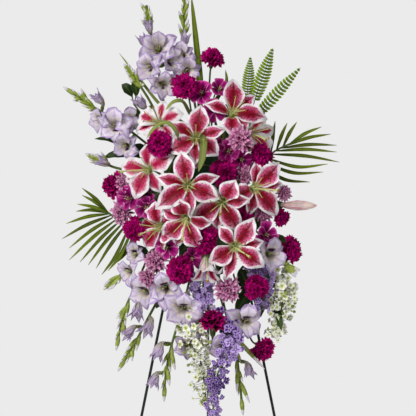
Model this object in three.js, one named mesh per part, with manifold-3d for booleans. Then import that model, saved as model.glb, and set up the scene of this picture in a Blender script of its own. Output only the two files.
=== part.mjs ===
// Standing funeral spray: cut flowers in a block of wet foam, held in a tray on a wire easel.
// Units are millimetres, +Z is up and the flowers face -Y. Every flower has its own stem down
// to the foam, and each stem stands in a hole of its own.

import * as THREE from "three";
import { mergeVertices } from "three/addons/utils/BufferGeometryUtils.js";
import Module from "manifold-3d";

const wasm = await Module();
wasm.setup();
const { Manifold, Mesh: SolidMesh } = wasm;

// Driving sizes of the easel
const EASEL_HEIGHT = 1512;
const FOOT_HALF_SPREAD = 312;
const FRONT_FOOT_OUT = 264;
const BACK_FOOT_OUT = 430;
const ROD_RADIUS = 3.5;
const ROD_SIDES = 10;
const TOP_BAR_HALF = 12;
const CROSS_BAR_HEIGHT = 1180;
const TRIM = 6; // a rod is drawn this much too long, then cut flat
const EYE_FACETS = { round: 12, wire: 6 };

// Driving sizes of the foam and its tray, along the front legs
const TRAY_HEIGHT_ON_EASEL = 1258;
const FOAM = { wide: 110, tall: 230, deep: 80 };
const TRAY = { wide: 150, tall: 282, plate: 3, wall: 2.5, lip: 26 };
const HOOK = { wide: 14, plate: 3, reach: 14, drop: 9, apart: 60, down: 3 };
const TIE = { half: 54, level: 129, radius: 0.9, end: 3, tail: 9, hole: 2, sides: 4 };

// Gaps between neighbours, and the look of the picture plane
const GAP = 0.3;
const GUARD = 0.4;
const FACE_PLANE = -200;
const EYE_HEIGHT = 1251;
const EYE_DISTANCE = 4200;

// Cut material
const STEM_RADIUS = 2.4;
const LILY_STEM_RADIUS = 3.4;
const STEM_SIDES = 3;
const STEM_DEPTH = 42;
const STALK_SINK = 3;
const STRAIGHT_BEHIND = 30;
const LOBES = { carnation: 5, chrysanthemum: 8, alstroemeria: 6, gladiolus: 6, opening: 4, larkspur: 5, lace: 4 };

const COLOURS = {
  wire: { color: 0x1f2a22, roughness: 0.45, metalness: 0.7 },
  tray: { color: 0x2f4a33, roughness: 0.6, metalness: 0 },
  foam: { color: 0x1f5a35, roughness: 0.95, metalness: 0 },
  lily: { color: 0xb0304a, roughness: 0.55, metalness: 0 },
  carnation: { color: 0x9c0d5c, roughness: 0.7, metalness: 0 },
  chrysanthemum: { color: 0xb878a8, roughness: 0.7, metalness: 0 },
  alstroemeria: { color: 0xa83a8a, roughness: 0.6, metalness: 0 },
  gladiolus: { color: 0xb9aed6, roughness: 0.6, metalness: 0 },
  larkspur: { color: 0x6a57b8, roughness: 0.65, metalness: 0 },
  lace: { color: 0xd8dcc8, roughness: 0.75, metalness: 0 },
  palm: { color: 0x3f5a2a, roughness: 0.55, metalness: 0 },
  fern: { color: 0x5c8a2c, roughness: 0.6, metalness: 0 },
  leaf: { color: 0x2f4a26, roughness: 0.5, metalness: 0 },
  blade: { color: 0x66763a, roughness: 0.5, metalness: 0 },
};

const vec = (x, y, z) => new THREE.Vector3(x, y, z);
const rad = THREE.MathUtils.degToRad;

/** A place read on the picture plane, drawn in toward the view axis by its own depth. */
function spot(x, z, y) {
  const share = 1 + (y - FACE_PLANE) / EYE_DISTANCE;
  return vec(x * share, y, EYE_HEIGHT + (z - EYE_HEIGHT) * share);
}

/** A closed solid from any closed three.js geometry. */
function toSolid(geometry) {
  const bare = new THREE.BufferGeometry();
  bare.setAttribute("position", geometry.getAttribute("position"));
  if (geometry.index) bare.setIndex(geometry.index);
  const merged = mergeVertices(bare, 1e-3);
  return new Manifold(
    new SolidMesh({
      numProp: 3,
      vertProperties: new Float32Array(merged.getAttribute("position").array),
      triVerts: new Uint32Array(merged.index.array),
    }),
  );
}

/** A three.js geometry from a solid. */
function toGeometry(solid) {
  const mesh = solid.getMesh();
  const geometry = new THREE.BufferGeometry();
  geometry.setAttribute("position", new THREE.BufferAttribute(new Float32Array(mesh.vertProperties), 3));
  geometry.setIndex(new THREE.BufferAttribute(new Uint32Array(mesh.triVerts), 1));
  geometry.computeVertexNormals();
  return geometry;
}

/** A solid from a list of points and the triangles between them. */
function facets(points, triangles) {
  const geometry = new THREE.BufferGeometry().setFromPoints(points);
  geometry.setIndex(triangles.flat());
  return toSolid(geometry);
}

/** A round rod along a curve. */
function rod(curve, radius, sides, steps) {
  const outline = new THREE.Shape(
    Array.from({ length: sides }, (_, k) => {
      const turn = (2 * Math.PI * (k + 0.5)) / sides;
      return new THREE.Vector2(radius * Math.cos(turn), radius * Math.sin(turn));
    }),
  );
  return toSolid(new THREE.ExtrudeGeometry(outline, { steps, extrudePath: curve }));
}

/** A smooth curve whose even steps fall on its own points, so few steps follow it closely. */
class Route extends THREE.CatmullRomCurve3 {
  getPointAt(t, target) {
    return this.getPoint(t, target);
  }

  getTangentAt(t, target) {
    return this.getTangent(t, target);
  }
}

/** A stem's route: straight between its points, with the smooth curve's tangents. */
class StemRoute extends Route {
  getPointAt(t, target = vec(0, 0, 0)) {
    const place = t * (this.points.length - 1);
    const k = Math.min(Math.floor(place), this.points.length - 2);
    return target.lerpVectors(this.points[k], this.points[k + 1], place - k);
  }
}

const through = (points) => new Route(points, false, "centripetal");
const stemThrough = (points) => new StemRoute(points, false, "centripetal");
const straight = (from, to) => new THREE.LineCurve3(from, to);

/** Triangles between two neighbouring rows of a blade, with any number of points in each. */
function between(lower, upper) {
  const faces = [];
  let i = 0;
  let j = 0;
  while (i < lower.length - 1 || j < upper.length - 1) {
    const stepLower = lower.length > 1 ? (i + 1) / (lower.length - 1) : Infinity;
    const stepUpper = upper.length > 1 ? (j + 1) / (upper.length - 1) : Infinity;
    if (j === upper.length - 1 || (i < lower.length - 1 && stepLower <= stepUpper)) {
      faces.push([lower[i], upper[j], lower[i + 1]]);
      i += 1;
    } else {
      faces.push([lower[i], upper[j], upper[j + 1]]);
      j += 1;
    }
  }
  return faces;
}

/** The rim of a blade's rows: up one side from the root, over the tip and down the other. */
function rimOf(lines) {
  const far = [...lines].reverse();
  const rim = [...lines.map((line) => line[0]), ...far.map((line) => line[line.length - 1])];
  return rim.filter((pair, k) => k === 0 || pair !== rim[k - 1]);
}

/** The triangles of a blade whose points come in pairs, one on the face and one on the back. */
function skin(lines, openRoot = false) {
  const triangles = [];
  lines
    .slice(1)
    .flatMap((line, row) => between(lines[row], line))
    .forEach(([a, b, c]) => triangles.push([a[0], b[0], c[0]], [a[1], c[1], b[1]]));
  const rim = rimOf(lines);
  if (rim[0] === rim[rim.length - 1]) rim.pop();
  const edges = openRoot ? rim.length - 1 : rim.length;
  for (let k = 0; k < edges; k += 1) {
    const here = rim[k];
    const next = rim[(k + 1) % rim.length];
    triangles.push([here[1], next[1], next[0]], [here[1], next[0], here[0]]);
  }
  return triangles;
}

/**
 * The paired points of a blade along a path. Each row is [place along the path, share of the
 * width, points across]. A grown blade is larger all round, to keep others clear.
 */
function bladeRows(points, { path, rows, width, face, cup = 0, wave = 0, thickness = 1.2 }, grow) {
  const curve = path.length > 2 ? through(path) : straight(path[0], path[1]);
  const half = thickness / 2 + grow;
  return rows.map(([t, share, count], row) => {
    const along = curve.getTangentAt(t);
    const centre = curve.getPointAt(t);
    if (t === 0) centre.addScaledVector(along, -grow);
    if (t === 1) centre.addScaledVector(along, 2 * grow);
    const normal = face.clone().addScaledVector(along, -face.dot(along)).normalize();
    const side = vec(0, 0, 0).crossVectors(normal, along);
    return Array.from({ length: count }, (_, k) => {
      const across = count === 1 ? 0 : -1 + (2 * k) / (count - 1);
      const reach = (width / 2) * share + grow;
      const ripple = Math.abs(across) * wave * width * (row % 2 ? 1 : -1) * Math.sign(across);
      const lift = cup * Math.abs(across) * reach + ripple;
      const middle = centre.clone().addScaledVector(side, across * reach);
      points.push(middle.clone().addScaledVector(normal, lift + half));
      points.push(middle.addScaledVector(normal, lift - half));
      return [points.length - 2, points.length - 1];
    });
  });
}

/** A thin leaf along a path, the same triangles closing both of its faces. */
function blade(shape, grow = 0) {
  const points = [];
  return facets(points, skin(bladeRows(points, shape, grow)));
}

/** The frame of a flower: its own x and y lie in its face, and z is the way it looks. */
class FlowerFrame {
  constructor(origin, look) {
    this.origin = origin;
    this.z = look.clone().normalize();
    const up = Math.abs(this.z.z) > 0.97 ? vec(0, 1, 0) : vec(0, 0, 1);
    this.x = vec(0, 0, 0).crossVectors(up, this.z).normalize();
    this.y = vec(0, 0, 0).crossVectors(this.z, this.x);
  }

  point(x, y, z) {
    return this.origin
      .clone()
      .addScaledVector(this.x, x)
      .addScaledVector(this.y, y)
      .addScaledVector(this.z, z);
  }

  /** A point at an angle in the face, a radius out and a height along the axis. */
  polar(angle, radius, height) {
    return this.point(radius * Math.cos(rad(angle)), radius * Math.sin(rad(angle)), height);
  }
}

/**
 * A bloom as one closed surface of lobed rings, from its root to its throat. A ring is
 * [kind, radius at the lobes, radius at the notches, height at the lobes, height at the notches],
 * in shares of the bloom's radius. The first and last have no radius: they are points.
 */
function lobed(frame, { lobes, radius, rings, root, turn = 90 }, grow = 0) {
  const count = 2 * lobes;
  const shift = {
    under: [[0, -1]],
    over: [[0, 1]],
    groove: [[1, 0]],
    rim: grow > 0 ? [[1.5, -1], [0.3, 1]] : [[0, 0]],
  };
  const rows = rings.flatMap(([kind, out, notch, high, low]) =>
    shift[kind].map(([outward, upward]) => ({
      reach: [out * radius + outward * grow, notch * radius + outward * grow],
      height: [high * radius + upward * grow, low * radius + upward * grow],
      pole: out === 0,
    })),
  );
  const points = [];
  const lines = rows.map(({ reach, height, pole }) =>
    Array.from({ length: pole ? 1 : count }, (_, k) => {
      const angle = turn + (360 * k) / count;
      const atRoot = root && points.length === 0;
      if (atRoot) points.push(root);
      else if (pole) points.push(frame.point(0, 0, height[0]));
      else points.push(frame.polar(angle, reach[k % 2], height[k % 2]));
      return points.length - 1;
    }),
  );
  const triangles = [];
  lines.slice(1).forEach((upper, row) => {
    const lower = lines[row];
    for (let k = 0; k < count; k += 1) {
      const next = (k + 1) % count;
      if (upper.length > 1) triangles.push([lower[k % lower.length], upper[next], upper[k]]);
      if (lower.length > 1) triangles.push([lower[k], lower[next], upper[next % upper.length]]);
    }
  });
  return facets(points, triangles);
}

/** A bud, sheath or calyx: pointed at both ends, widest at a share of its length. */
function spindle(from, to, radius, sides = 4, widest = 0.4, grow = 0) {
  const along = to.clone().sub(from).normalize();
  const across = Math.abs(along.z) > 0.9 ? vec(1, 0, 0) : vec(0, 0, 1);
  const side = vec(0, 0, 0).crossVectors(across, along).normalize();
  const other = vec(0, 0, 0).crossVectors(along, side);
  const centre = from.clone().lerp(to, widest);
  const points = [from.clone().addScaledVector(along, -grow), to.clone().addScaledVector(along, 3 * grow)];
  const triangles = [];
  for (let k = 0; k < sides; k += 1) {
    const turn = (2 * Math.PI * k) / sides;
    const out = radius + 1.4 * grow;
    points.push(
      centre
        .clone()
        .addScaledVector(side, out * Math.cos(turn))
        .addScaledVector(other, out * Math.sin(turn)),
    );
    const here = 2 + k;
    const next = 2 + ((k + 1) % sides);
    triangles.push([0, next, here], [1, here, next]);
  }
  return facets(points, triangles);
}

// The leaning frame of the front legs: u across, v up along the legs, w toward the viewer
const LEAN = Math.atan2(FRONT_FOOT_OUT, EASEL_HEIGHT);
const LEG_TOP_HALF = TOP_BAR_HALF + GAP;
const LEG_SLOPE = (FOOT_HALF_SPREAD - LEG_TOP_HALF) / EASEL_HEIGHT;
const depthOfLegs = (z) => -(EASEL_HEIGHT - z) * Math.tan(LEAN);
const halfWidthOfLegs = (z) => LEG_TOP_HALF + (EASEL_HEIGHT - z) * LEG_SLOPE;

function leaning(u, v, w) {
  return vec(
    u,
    depthOfLegs(TRAY_HEIGHT_ON_EASEL) + v * Math.sin(LEAN) - w * Math.cos(LEAN),
    TRAY_HEIGHT_ON_EASEL + v * Math.cos(LEAN) + w * Math.sin(LEAN),
  );
}

/** Turns a solid drawn with x = u, y = v, z = w into the leaning frame. */
function inLeaningFrame(solid) {
  const matrix = new THREE.Matrix4().makeBasis(
    vec(1, 0, 0),
    leaning(0, 1, 0).sub(leaning(0, 0, 0)),
    leaning(0, 0, 1).sub(leaning(0, 0, 0)),
  );
  matrix.setPosition(leaning(0, 0, 0));
  return solid.transform(matrix.elements);
}

function slab(wide, tall, deep, u = 0, v = 0, w = 0) {
  return toSolid(new THREE.BoxGeometry(wide, tall, deep).translate(u, v, w));
}

/** One front leg, from the top bar down to a foot cut flat at the floor. */
function frontLeg(side, grow = 0) {
  const topAt = EASEL_HEIGHT + TRIM;
  const top = vec(side * (LEG_TOP_HALF - TRIM * LEG_SLOPE), depthOfLegs(topAt), topAt);
  const foot = vec(side * (FOOT_HALF_SPREAD + TRIM * LEG_SLOPE), depthOfLegs(-TRIM), -TRIM);
  const radius = ROD_RADIUS + grow;
  const whole = rod(straight(top, foot), radius, ROD_SIDES, 1);
  const trimmed = whole.trimByPlane([0, 0, 1], 0);
  return trimmed.trimByPlane([side, 0, 0], LEG_TOP_HALF - grow);
}

/** The short bar that joins the front legs at the top and carries the back leg's eye. */
function topBar() {
  const end = vec(TOP_BAR_HALF, 0, EASEL_HEIGHT);
  return rod(straight(end.clone().setX(-TOP_BAR_HALF), end), ROD_RADIUS, ROD_SIDES, 1);
}

/** The bar across the front legs that the tray hangs on. */
function crossBar() {
  const half = halfWidthOfLegs(CROSS_BAR_HEIGHT);
  const end = vec(half, depthOfLegs(CROSS_BAR_HEIGHT), CROSS_BAR_HEIGHT);
  const whole = rod(straight(end.clone().setX(-half), end), ROD_RADIUS, ROD_SIDES, 1);
  return largest(whole.subtract(Manifold.union([frontLeg(-1, GAP), frontLeg(1, GAP)])));
}

/** The back leg: a straight wire whose top is rolled into an eye round the top bar. */
function backLeg() {
  const hinge = vec(0, 0, EASEL_HEIGHT);
  const eyeRadius = ROD_RADIUS + GAP + ROD_RADIUS;
  const down = vec(0, BACK_FOOT_OUT, -EASEL_HEIGHT).normalize();
  const ring = new THREE.TorusGeometry(eyeRadius, ROD_RADIUS, EYE_FACETS.wire, EYE_FACETS.round);
  const eye = toSolid(ring.rotateY(Math.PI / 2));
  const start = hinge.clone().addScaledVector(down, eyeRadius);
  const foot = hinge.clone().addScaledVector(down, (EASEL_HEIGHT + TRIM) / -down.z);
  const leg = rod(straight(start, foot), ROD_RADIUS, ROD_SIDES, 1).trimByPlane([0, 0, 1], 0);
  return eye.translate([0, 0, EASEL_HEIGHT]).add(leg);
}

/** The open tray behind the foam, with two hooks over the cross bar and holes for the tie. */
function foamTray() {
  const back = ROD_RADIUS + GAP;
  const crossBarAt = (CROSS_BAR_HEIGHT - TRAY_HEIGHT_ON_EASEL) / Math.cos(LEAN);
  const plate = slab(TRAY.wide, TRAY.tall, TRAY.plate, 0, 0, back + TRAY.plate / 2);
  const inner = { wide: FOAM.wide + 2 * GAP, tall: FOAM.tall + 2 * GAP };
  const frame = slab(inner.wide + 2 * TRAY.wall, inner.tall + 2 * TRAY.wall, TRAY.lip);
  const walls = frame
    .subtract(slab(inner.wide, inner.tall, TRAY.lip + 2))
    .translate([0, 0, back + TRAY.plate / 2 + TRAY.lip / 2]);
  const over = crossBarAt + back + HOOK.plate / 2;
  const behind = -back - HOOK.plate / 2;
  const hooks = [-1, 1].flatMap((side) => {
    const u = (side * HOOK.apart) / 2;
    const top = slab(HOOK.wide, HOOK.plate, HOOK.reach, u, over, back + (TRAY.plate - HOOK.reach) / 2);
    return [top, slab(HOOK.wide, HOOK.drop, HOOK.plate, u, crossBarAt + HOOK.down, behind)];
  });
  const drill = new THREE.CylinderGeometry(TIE.hole, TIE.hole, TRIM + TRAY.plate, 8).rotateX(Math.PI / 2);
  const holes = [-1, 1].map((side) =>
    toSolid(drill).translate([side * TIE.half, TIE.level, back + TRAY.plate / 2]),
  );
  return inLeaningFrame(Manifold.union([plate, walls, ...hooks]).subtract(Manifold.union(holes)));
}

/** The wire tie: through the tray's holes and behind both front legs, its ends left in front. */
function frameTie() {
  const front = ROD_RADIUS + GAP + TRAY.plate + GAP + TIE.radius;
  const rear = -(ROD_RADIUS + GAP + TIE.radius);
  const half = [
    [TIE.end, front + TIE.tail],
    [TIE.end, front],
    [TIE.half, front],
    [TIE.half, rear],
  ];
  const route = [...half, ...half.map(([u, w]) => [-u, w]).reverse()];
  const points = route.map(([u, w]) => leaning(u, TIE.level, w));
  return rod(through(points), TIE.radius, TIE.sides, points.length - 1);
}

/** The block of wet foam, before the stems are pushed in. */
function foamBlock() {
  const middle = ROD_RADIUS + GAP + TRAY.plate + GAP + FOAM.deep / 2;
  return inLeaningFrame(slab(FOAM.wide, FOAM.tall, FOAM.deep, 0, 0, middle));
}

const SEATS = { pitch: 9.5, columns: 9, rows: 19, pull: { u: 0.27, v: 0.32 }, taken: new Set() };

/** Where a stem from (x, z) ends in the foam: the nearest place on a grid still free. */
function foamSeat(x, z) {
  const wanted = [x * SEATS.pull.u, (z - TRAY_HEIGHT_ON_EASEL) * SEATS.pull.v];
  const cells = [];
  for (let column = 0; column < SEATS.columns; column += 1) {
    for (let row = 0; row < SEATS.rows; row += 1) {
      const u = SEATS.pitch * (column - (SEATS.columns - 1) / 2);
      const v = SEATS.pitch * (row - (SEATS.rows - 1) / 2);
      cells.push({ u, v, gap: Math.hypot(u - wanted[0], v - wanted[1]), key: `${column} ${row}` });
    }
  }
  const free = cells.filter(({ key }) => !SEATS.taken.has(key));
  const best = free.reduce((near, cell) => (cell.gap < near.gap ? cell : near), free[0]);
  SEATS.taken.add(best.key);
  return leaning(best.u, best.v, ROD_RADIUS + TRAY.plate + FOAM.deep - STEM_DEPTH);
}

/** One node of cut material. Its stem parts and head parts are made plain or grown. */
class CutPiece {
  constructor(name, colour) {
    this.name = name;
    this.colour = colour;
    this.stems = [];
    this.heads = [];
    this.depths = [];
  }

  get depth() {
    return this.depths.reduce((sum, y) => sum + y, 0) / Math.max(1, this.depths.length);
  }

  stem(points, radius = STEM_RADIUS, steps = points.length - 1) {
    const curve = points.length > 2 ? stemThrough(points) : straight(...points);
    const corner = 1 / Math.cos(Math.PI / STEM_SIDES);
    this.stems.push((grow) => rod(curve, radius + grow * corner, STEM_SIDES, steps));
    return this;
  }

  head(make) {
    this.heads.push(make);
    return this;
  }
}

/** The stem's route from the foam to a flower's base, leaving the base straight behind it. */
function stemRoute(base, look, start) {
  const behind = base.clone().addScaledVector(look.clone().normalize(), -STRAIGHT_BEHIND);
  const root = base.clone().addScaledVector(look.clone().normalize(), STALK_SINK);
  return [start, behind, root];
}

/** Where the branches of a stem part: on the way from the foam to the middle of the heads. */
function forkOf(places, share) {
  const middle = places.reduce((sum, at) => sum.add(at), vec(0, 0, 0)).divideScalar(places.length);
  const seat = foamSeat(middle.x, middle.z);
  return { seat, fork: seat.clone().lerp(middle, share) };
}

// Lilies: petals are [angle in the face, reach, broad or narrow], read off the photograph
const BROAD = 47;
const NARROW = 31;
const HUB = { radius: 6, height: -31, half: 2, bottom: -48 };
const OPEN_LILY = { throat: [[13, 20], [28, 28]], slopes: [2, -16, -40] };
const CLOSED_LILY = { throat: [[9, 20], [16, 38]], slopes: [72, 60, 10] };
const LILY_ROWS = [
  [0.38, 0.76, 3],
  [0.72, 0.95, 3],
  [1, 0.02, 1],
];
const NARROW_SINK = 6;

/**
 * A petal's path: up the throat in the same steps for all, the narrow whorl lower than the
 * broad one so that they stay apart, and on in even steps down a list of slopes to its reach.
 */
function petalPath(frame, angle, reach, sink, { throat, slopes }) {
  const steps = throat.map(([radius, rise]) => [radius, HUB.height + rise - sink]);
  let [radius, height] = steps[steps.length - 1];
  const flat = slopes.reduce((sum, slope) => sum + Math.cos(rad(slope)), 0);
  const step = (reach - radius) / flat;
  slopes.forEach((slope) => {
    radius += step * Math.cos(rad(slope));
    height += step * Math.sin(rad(slope));
    steps.push([radius, height]);
  });
  return [[HUB.radius, HUB.height], ...steps].map(([out, up]) => frame.polar(angle, out, up));
}

/** A lily's six petals, each growing from one side of a small six-sided hub. */
function lilySolid(frame, petals, form, grow) {
  const turned = [...petals].sort((a, b) => a[0] - b[0]);
  const count = turned.length;
  const points = [];
  const corners = turned.map(([angle], k) => {
    const next = turned[(k + 1) % count][0] + (k + 1 === count ? 360 : 0);
    [HUB.half + grow, -HUB.half - grow].forEach((rise) => {
      points.push(frame.polar((angle + next) / 2, HUB.radius + grow, HUB.height + rise));
    });
    return [points.length - 2, points.length - 1];
  });
  const throat = points.push(frame.point(0, 0, HUB.height + grow)) - 1;
  const bottom = points.push(frame.point(0, 0, HUB.bottom - grow)) - 1;
  const triangles = [];
  turned.forEach(([angle, reach, width], k) => {
    const inner = width === BROAD;
    const right = corners[(k + count - 1) % count];
    const left = corners[k];
    const shape = {
      path: petalPath(frame, angle, reach, inner ? 0 : NARROW_SINK, form),
      rows: LILY_ROWS,
      width,
      face: frame.z,
      cup: inner ? 0.16 : 0.04,
      wave: inner ? 0.03 : 0,
      thickness: 1.4,
    };
    triangles.push(...skin([[right, left], ...bladeRows(points, shape, grow)], true));
    triangles.push([throat, right[0], left[0]], [bottom, left[1], right[1]]);
  });
  return facets(points, triangles);
}

/** A lily with its pistil. Returns the base that the stem reaches. */
function lilyBloom(piece, at, look, petals, form) {
  const frame = new FlowerFrame(at, look);
  piece.head((grow) => lilySolid(frame, petals, form, grow));
  piece.head((grow) => spindle(frame.point(0, 0, -36), frame.point(3, -16, 44), 2, 3, 0.85, grow));
  piece.depths.push(at.y);
  return frame.point(0, 0, -40);
}

const LILY_STALKS = [
  {
    name: "lily_stalk_top",
    share: 0.62,
    blooms: [
      {
        at: [-30, 1428, -304],
        look: [0, -1, 0.12],
        petals: [[82, 84, BROAD], [18, 78, NARROW], [322, 70, BROAD], [268, 66, NARROW], [208, 76, BROAD], [147, 74, NARROW]],
      },
      {
        at: [63, 1493, -284],
        look: [0.2, -0.9, 0.32],
        petals: [[84, 96, BROAD], [38, 84, NARROW], [352, 92, BROAD], [302, 66, NARROW], [262, 62, BROAD], [159, 72, NARROW]],
      },
      {
        at: [112, 1438, -250],
        look: [0.8, -0.6, -0.05],
        petals: [[62, 62, BROAD], [5, 82, NARROW], [310, 78, BROAD], [250, 54, NARROW], [190, 40, BROAD], [125, 44, NARROW]],
      },
    ],
    leaf: [[-24, 1424, -240], [-13, 1404, -290], [-14, 1376, -318], [-24, 1342, -324]],
  },
  {
    name: "lily_stalk_left",
    share: 0.66,
    blooms: [
      {
        at: [-127, 1468, -250],
        look: [-0.3, -0.85, 0.25],
        petals: [[82, 60, NARROW], [20, 68, BROAD], [320, 62, NARROW], [262, 66, BROAD], [200, 66, NARROW], [160, 58, BROAD]],
      },
      {
        at: [-155, 1349, -285],
        look: [-0.28, -0.95, 0.05],
        petals: [[175, 70, BROAD], [94, 64, NARROW], [26, 76, BROAD], [300, 68, NARROW], [247, 82, BROAD], [207, 66, NARROW]],
      },
      {
        at: [-129, 1202, -290],
        look: [-0.6, -0.8, -0.12],
        petals: [[228, 72, BROAD], [170, 60, NARROW], [95, 64, BROAD], [30, 52, NARROW], [330, 50, BROAD], [276, 60, NARROW]],
      },
    ],
  },
  {
    name: "lily_stalk_middle",
    share: 0.66,
    blooms: [
      {
        at: [-51, 1309, -345],
        look: [-0.05, -1, 0.04],
        petals: [[102, 86, BROAD], [16, 80, NARROW], [336, 84, BROAD], [274, 81, NARROW], [216, 99, BROAD], [165, 83, NARROW]],
      },
      {
        at: [33, 1263, -322],
        look: [-0.12, -0.95, -0.2],
        petals: [[211, 92, BROAD], [257, 72, NARROW], [301, 88, BROAD], [6, 70, NARROW], [57, 66, BROAD], [135, 68, NARROW]],
      },
      {
        at: [-58, 1218, -338],
        look: [-0.2, -0.88, -0.42],
        petals: [[217, 82, BROAD], [246, 90, NARROW], [288, 88, BROAD], [350, 66, NARROW], [100, 56, BROAD], [155, 66, NARROW]],
      },
    ],
  },
  {
    name: "lily_stalk_right",
    share: 0.6,
    blooms: [
      {
        at: [122, 1302, -288],
        look: [0.32, -0.92, 0],
        petals: [[44, 92, BROAD], [87, 66, NARROW], [203, 66, BROAD], [256, 72, NARROW], [309, 94, BROAD], [8, 76, NARROW]],
      },
    ],
    bud: { from: [182, 1258, -232], to: [272, 1257, -240], radius: 13 },
  },
  {
    name: "lily_stalk_low",
    share: 0.6,
    blooms: [
      {
        at: [69, 1153, -318],
        look: [0.05, -1, -0.08],
        petals: [[211, 75, BROAD], [254, 91, NARROW], [325, 88, BROAD], [10, 72, NARROW], [57, 85, BROAD], [128, 66, NARROW]],
      },
      {
        at: [-5, 1104, -292],
        look: [0.04, -0.5, -0.87],
        petals: [[20, 42, NARROW], [80, 40, BROAD], [140, 42, NARROW], [200, 44, BROAD], [265, 42, NARROW], [325, 44, BROAD]],
        form: CLOSED_LILY,
      },
    ],
  },
];

function lilyStalks() {
  return LILY_STALKS.map(({ name, share, blooms, bud, leaf }) => {
    const piece = new CutPiece(name, COLOURS.lily);
    const places = blooms.map(({ at: [x, z, y] }) => spot(x, z, y));
    const { seat, fork } = forkOf(places, share);
    blooms.forEach(({ look, petals, form = OPEN_LILY }, k) => {
      const facing = vec(...look);
      const base = lilyBloom(piece, places[k], facing, petals, form);
      const route = stemRoute(base, facing, fork);
      piece.stem(k ? route : [seat, ...route], k ? LILY_STEM_RADIUS - 0.6 : LILY_STEM_RADIUS);
    });
    if (bud) {
      const from = spot(...bud.from);
      const to = spot(...bud.to);
      piece.head((grow) => spindle(from, to, bud.radius, 6, 0.5, grow));
      const back = from.clone().lerp(to, -0.3);
      piece.stem([fork, back, from.clone().lerp(to, 0.12)]);
    }
    if (leaf) {
      const set = {
        path: leaf.map(([x, z, y]) => spot(x, z, y)),
        rows: [[0, 0.5, 2], [0.35, 1, 3], [0.7, 0.9, 3], [1, 0.05, 1]],
        width: 17,
        face: vec(0, -1, 0.05),
        cup: 0.18,
      };
      piece.head((grow) => blade(set, grow));
    }
    return piece;
  });
}

// Carnations: place on the picture plane, depth, the way each looks, and half its width
const CARNATIONS = [
  { at: [10, 1626, -185], look: [0.1, -0.8, 0.5], radius: 31 },
  { at: [-56, 1555, -245], look: [-0.1, -0.95, 0.25], radius: 35 },
  { at: [-120, 1413, -300], look: [-0.15, -1, 0.1], radius: 35 },
  { at: [43, 1338, -280], look: [0.05, -1, 0.1], radius: 35 },
  { at: [132, 1383, -262], look: [0.3, -0.95, 0.1], radius: 31 },
  { at: [-237, 1308, -212], look: [-0.92, -0.38, 0.1], radius: 33 },
  { at: [-186, 1198, -258], look: [-0.45, -0.9, -0.1], radius: 31 },
  { at: [-9, 1171, -300], look: [0, -1, -0.1], radius: 35 },
  { at: [-70, 1094, -302], look: [-0.1, -0.95, -0.3], radius: 36 },
  { at: [205, 1144, -212], look: [0.65, -0.75, -0.05], radius: 35 },
  { at: [122, 1055, -268], look: [0.12, -0.95, -0.25], radius: 33 },
  { at: [12, 966, -262], look: [0, -0.4, 0.92], radius: 34 },
  { at: [138, 898, -218], look: [0.6, -0.6, -0.5], radius: 28 },
  { at: [85, 1233, -272], look: [0.1, -1, 0], radius: 27 },
  { at: [184, 1226, -238], look: [0.65, -0.7, -0.3], radius: 24 },
];

// Three frilled tiers, each rim standing out over the groove below it
const CARNATION_RINGS = [
  ["under", 0, 0, -0.85, -0.85],
  ["rim", 1, 0.84, -0.02, -0.2],
  ["groove", 0.7, 0.62, 0.14, 0.04],
  ["rim", 0.76, 0.88, 0.42, 0.24],
  ["groove", 0.48, 0.4, 0.44, 0.36],
  ["rim", 0.58, 0.42, 0.66, 0.52],
  ["over", 0, 0, 0.5, 0.5],
];

function carnations() {
  return CARNATIONS.map(({ at: [x, z, y], look, radius }, k) => {
    const piece = new CutPiece(`carnation_${String(k + 1).padStart(2, "0")}`, COLOURS.carnation);
    const place = spot(x, z, y);
    const facing = vec(...look);
    const frame = new FlowerFrame(place, facing);
    piece.head((grow) => lobed(frame, { lobes: LOBES.carnation, radius, rings: CARNATION_RINGS }, grow));
    piece.depths.push(place.y);
    const base = frame.point(0, 0, -0.7 * radius);
    piece.stem(stemRoute(base, facing, foamSeat(x, z)));
    return piece;
  });
}

// Two tiers of narrow rays
const CHRYSANTHEMUM_RINGS = [
  ["under", 0, 0, -0.42, -0.42],
  ["rim", 1, 0.5, -0.1, -0.02],
  ["groove", 0.4, 0.34, 0.16, 0.12],
  ["rim", 0.44, 0.74, 0.26, 0.34],
  ["over", 0, 0, 0.22, 0.22],
];

// A short tube that opens into six lobes
const ALSTROEMERIA_RINGS = [
  ["under", 0, 0, -0.9, -0.9],
  ["rim", 1, 0.46, 0.08, -0.16],
  ["over", 0.4, 0.24, -0.2, -0.24],
  ["over", 0, 0, -0.5, -0.5],
];

function chrysanthemumHead(piece, at, look, radius) {
  const frame = new FlowerFrame(at, look);
  piece.head((grow) => lobed(frame, { lobes: LOBES.chrysanthemum, radius, rings: CHRYSANTHEMUM_RINGS }, grow));
  piece.depths.push(at.y);
  return frame.point(0, 0, -radius * 0.3);
}

function alstroemeriaHead(piece, at, look, radius) {
  const frame = new FlowerFrame(at, look);
  piece.head((grow) => lobed(frame, { lobes: LOBES.alstroemeria, radius, rings: ALSTROEMERIA_RINGS }, grow));
  piece.depths.push(at.y);
  return frame.point(0, 0, -radius * 0.7);
}

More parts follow.
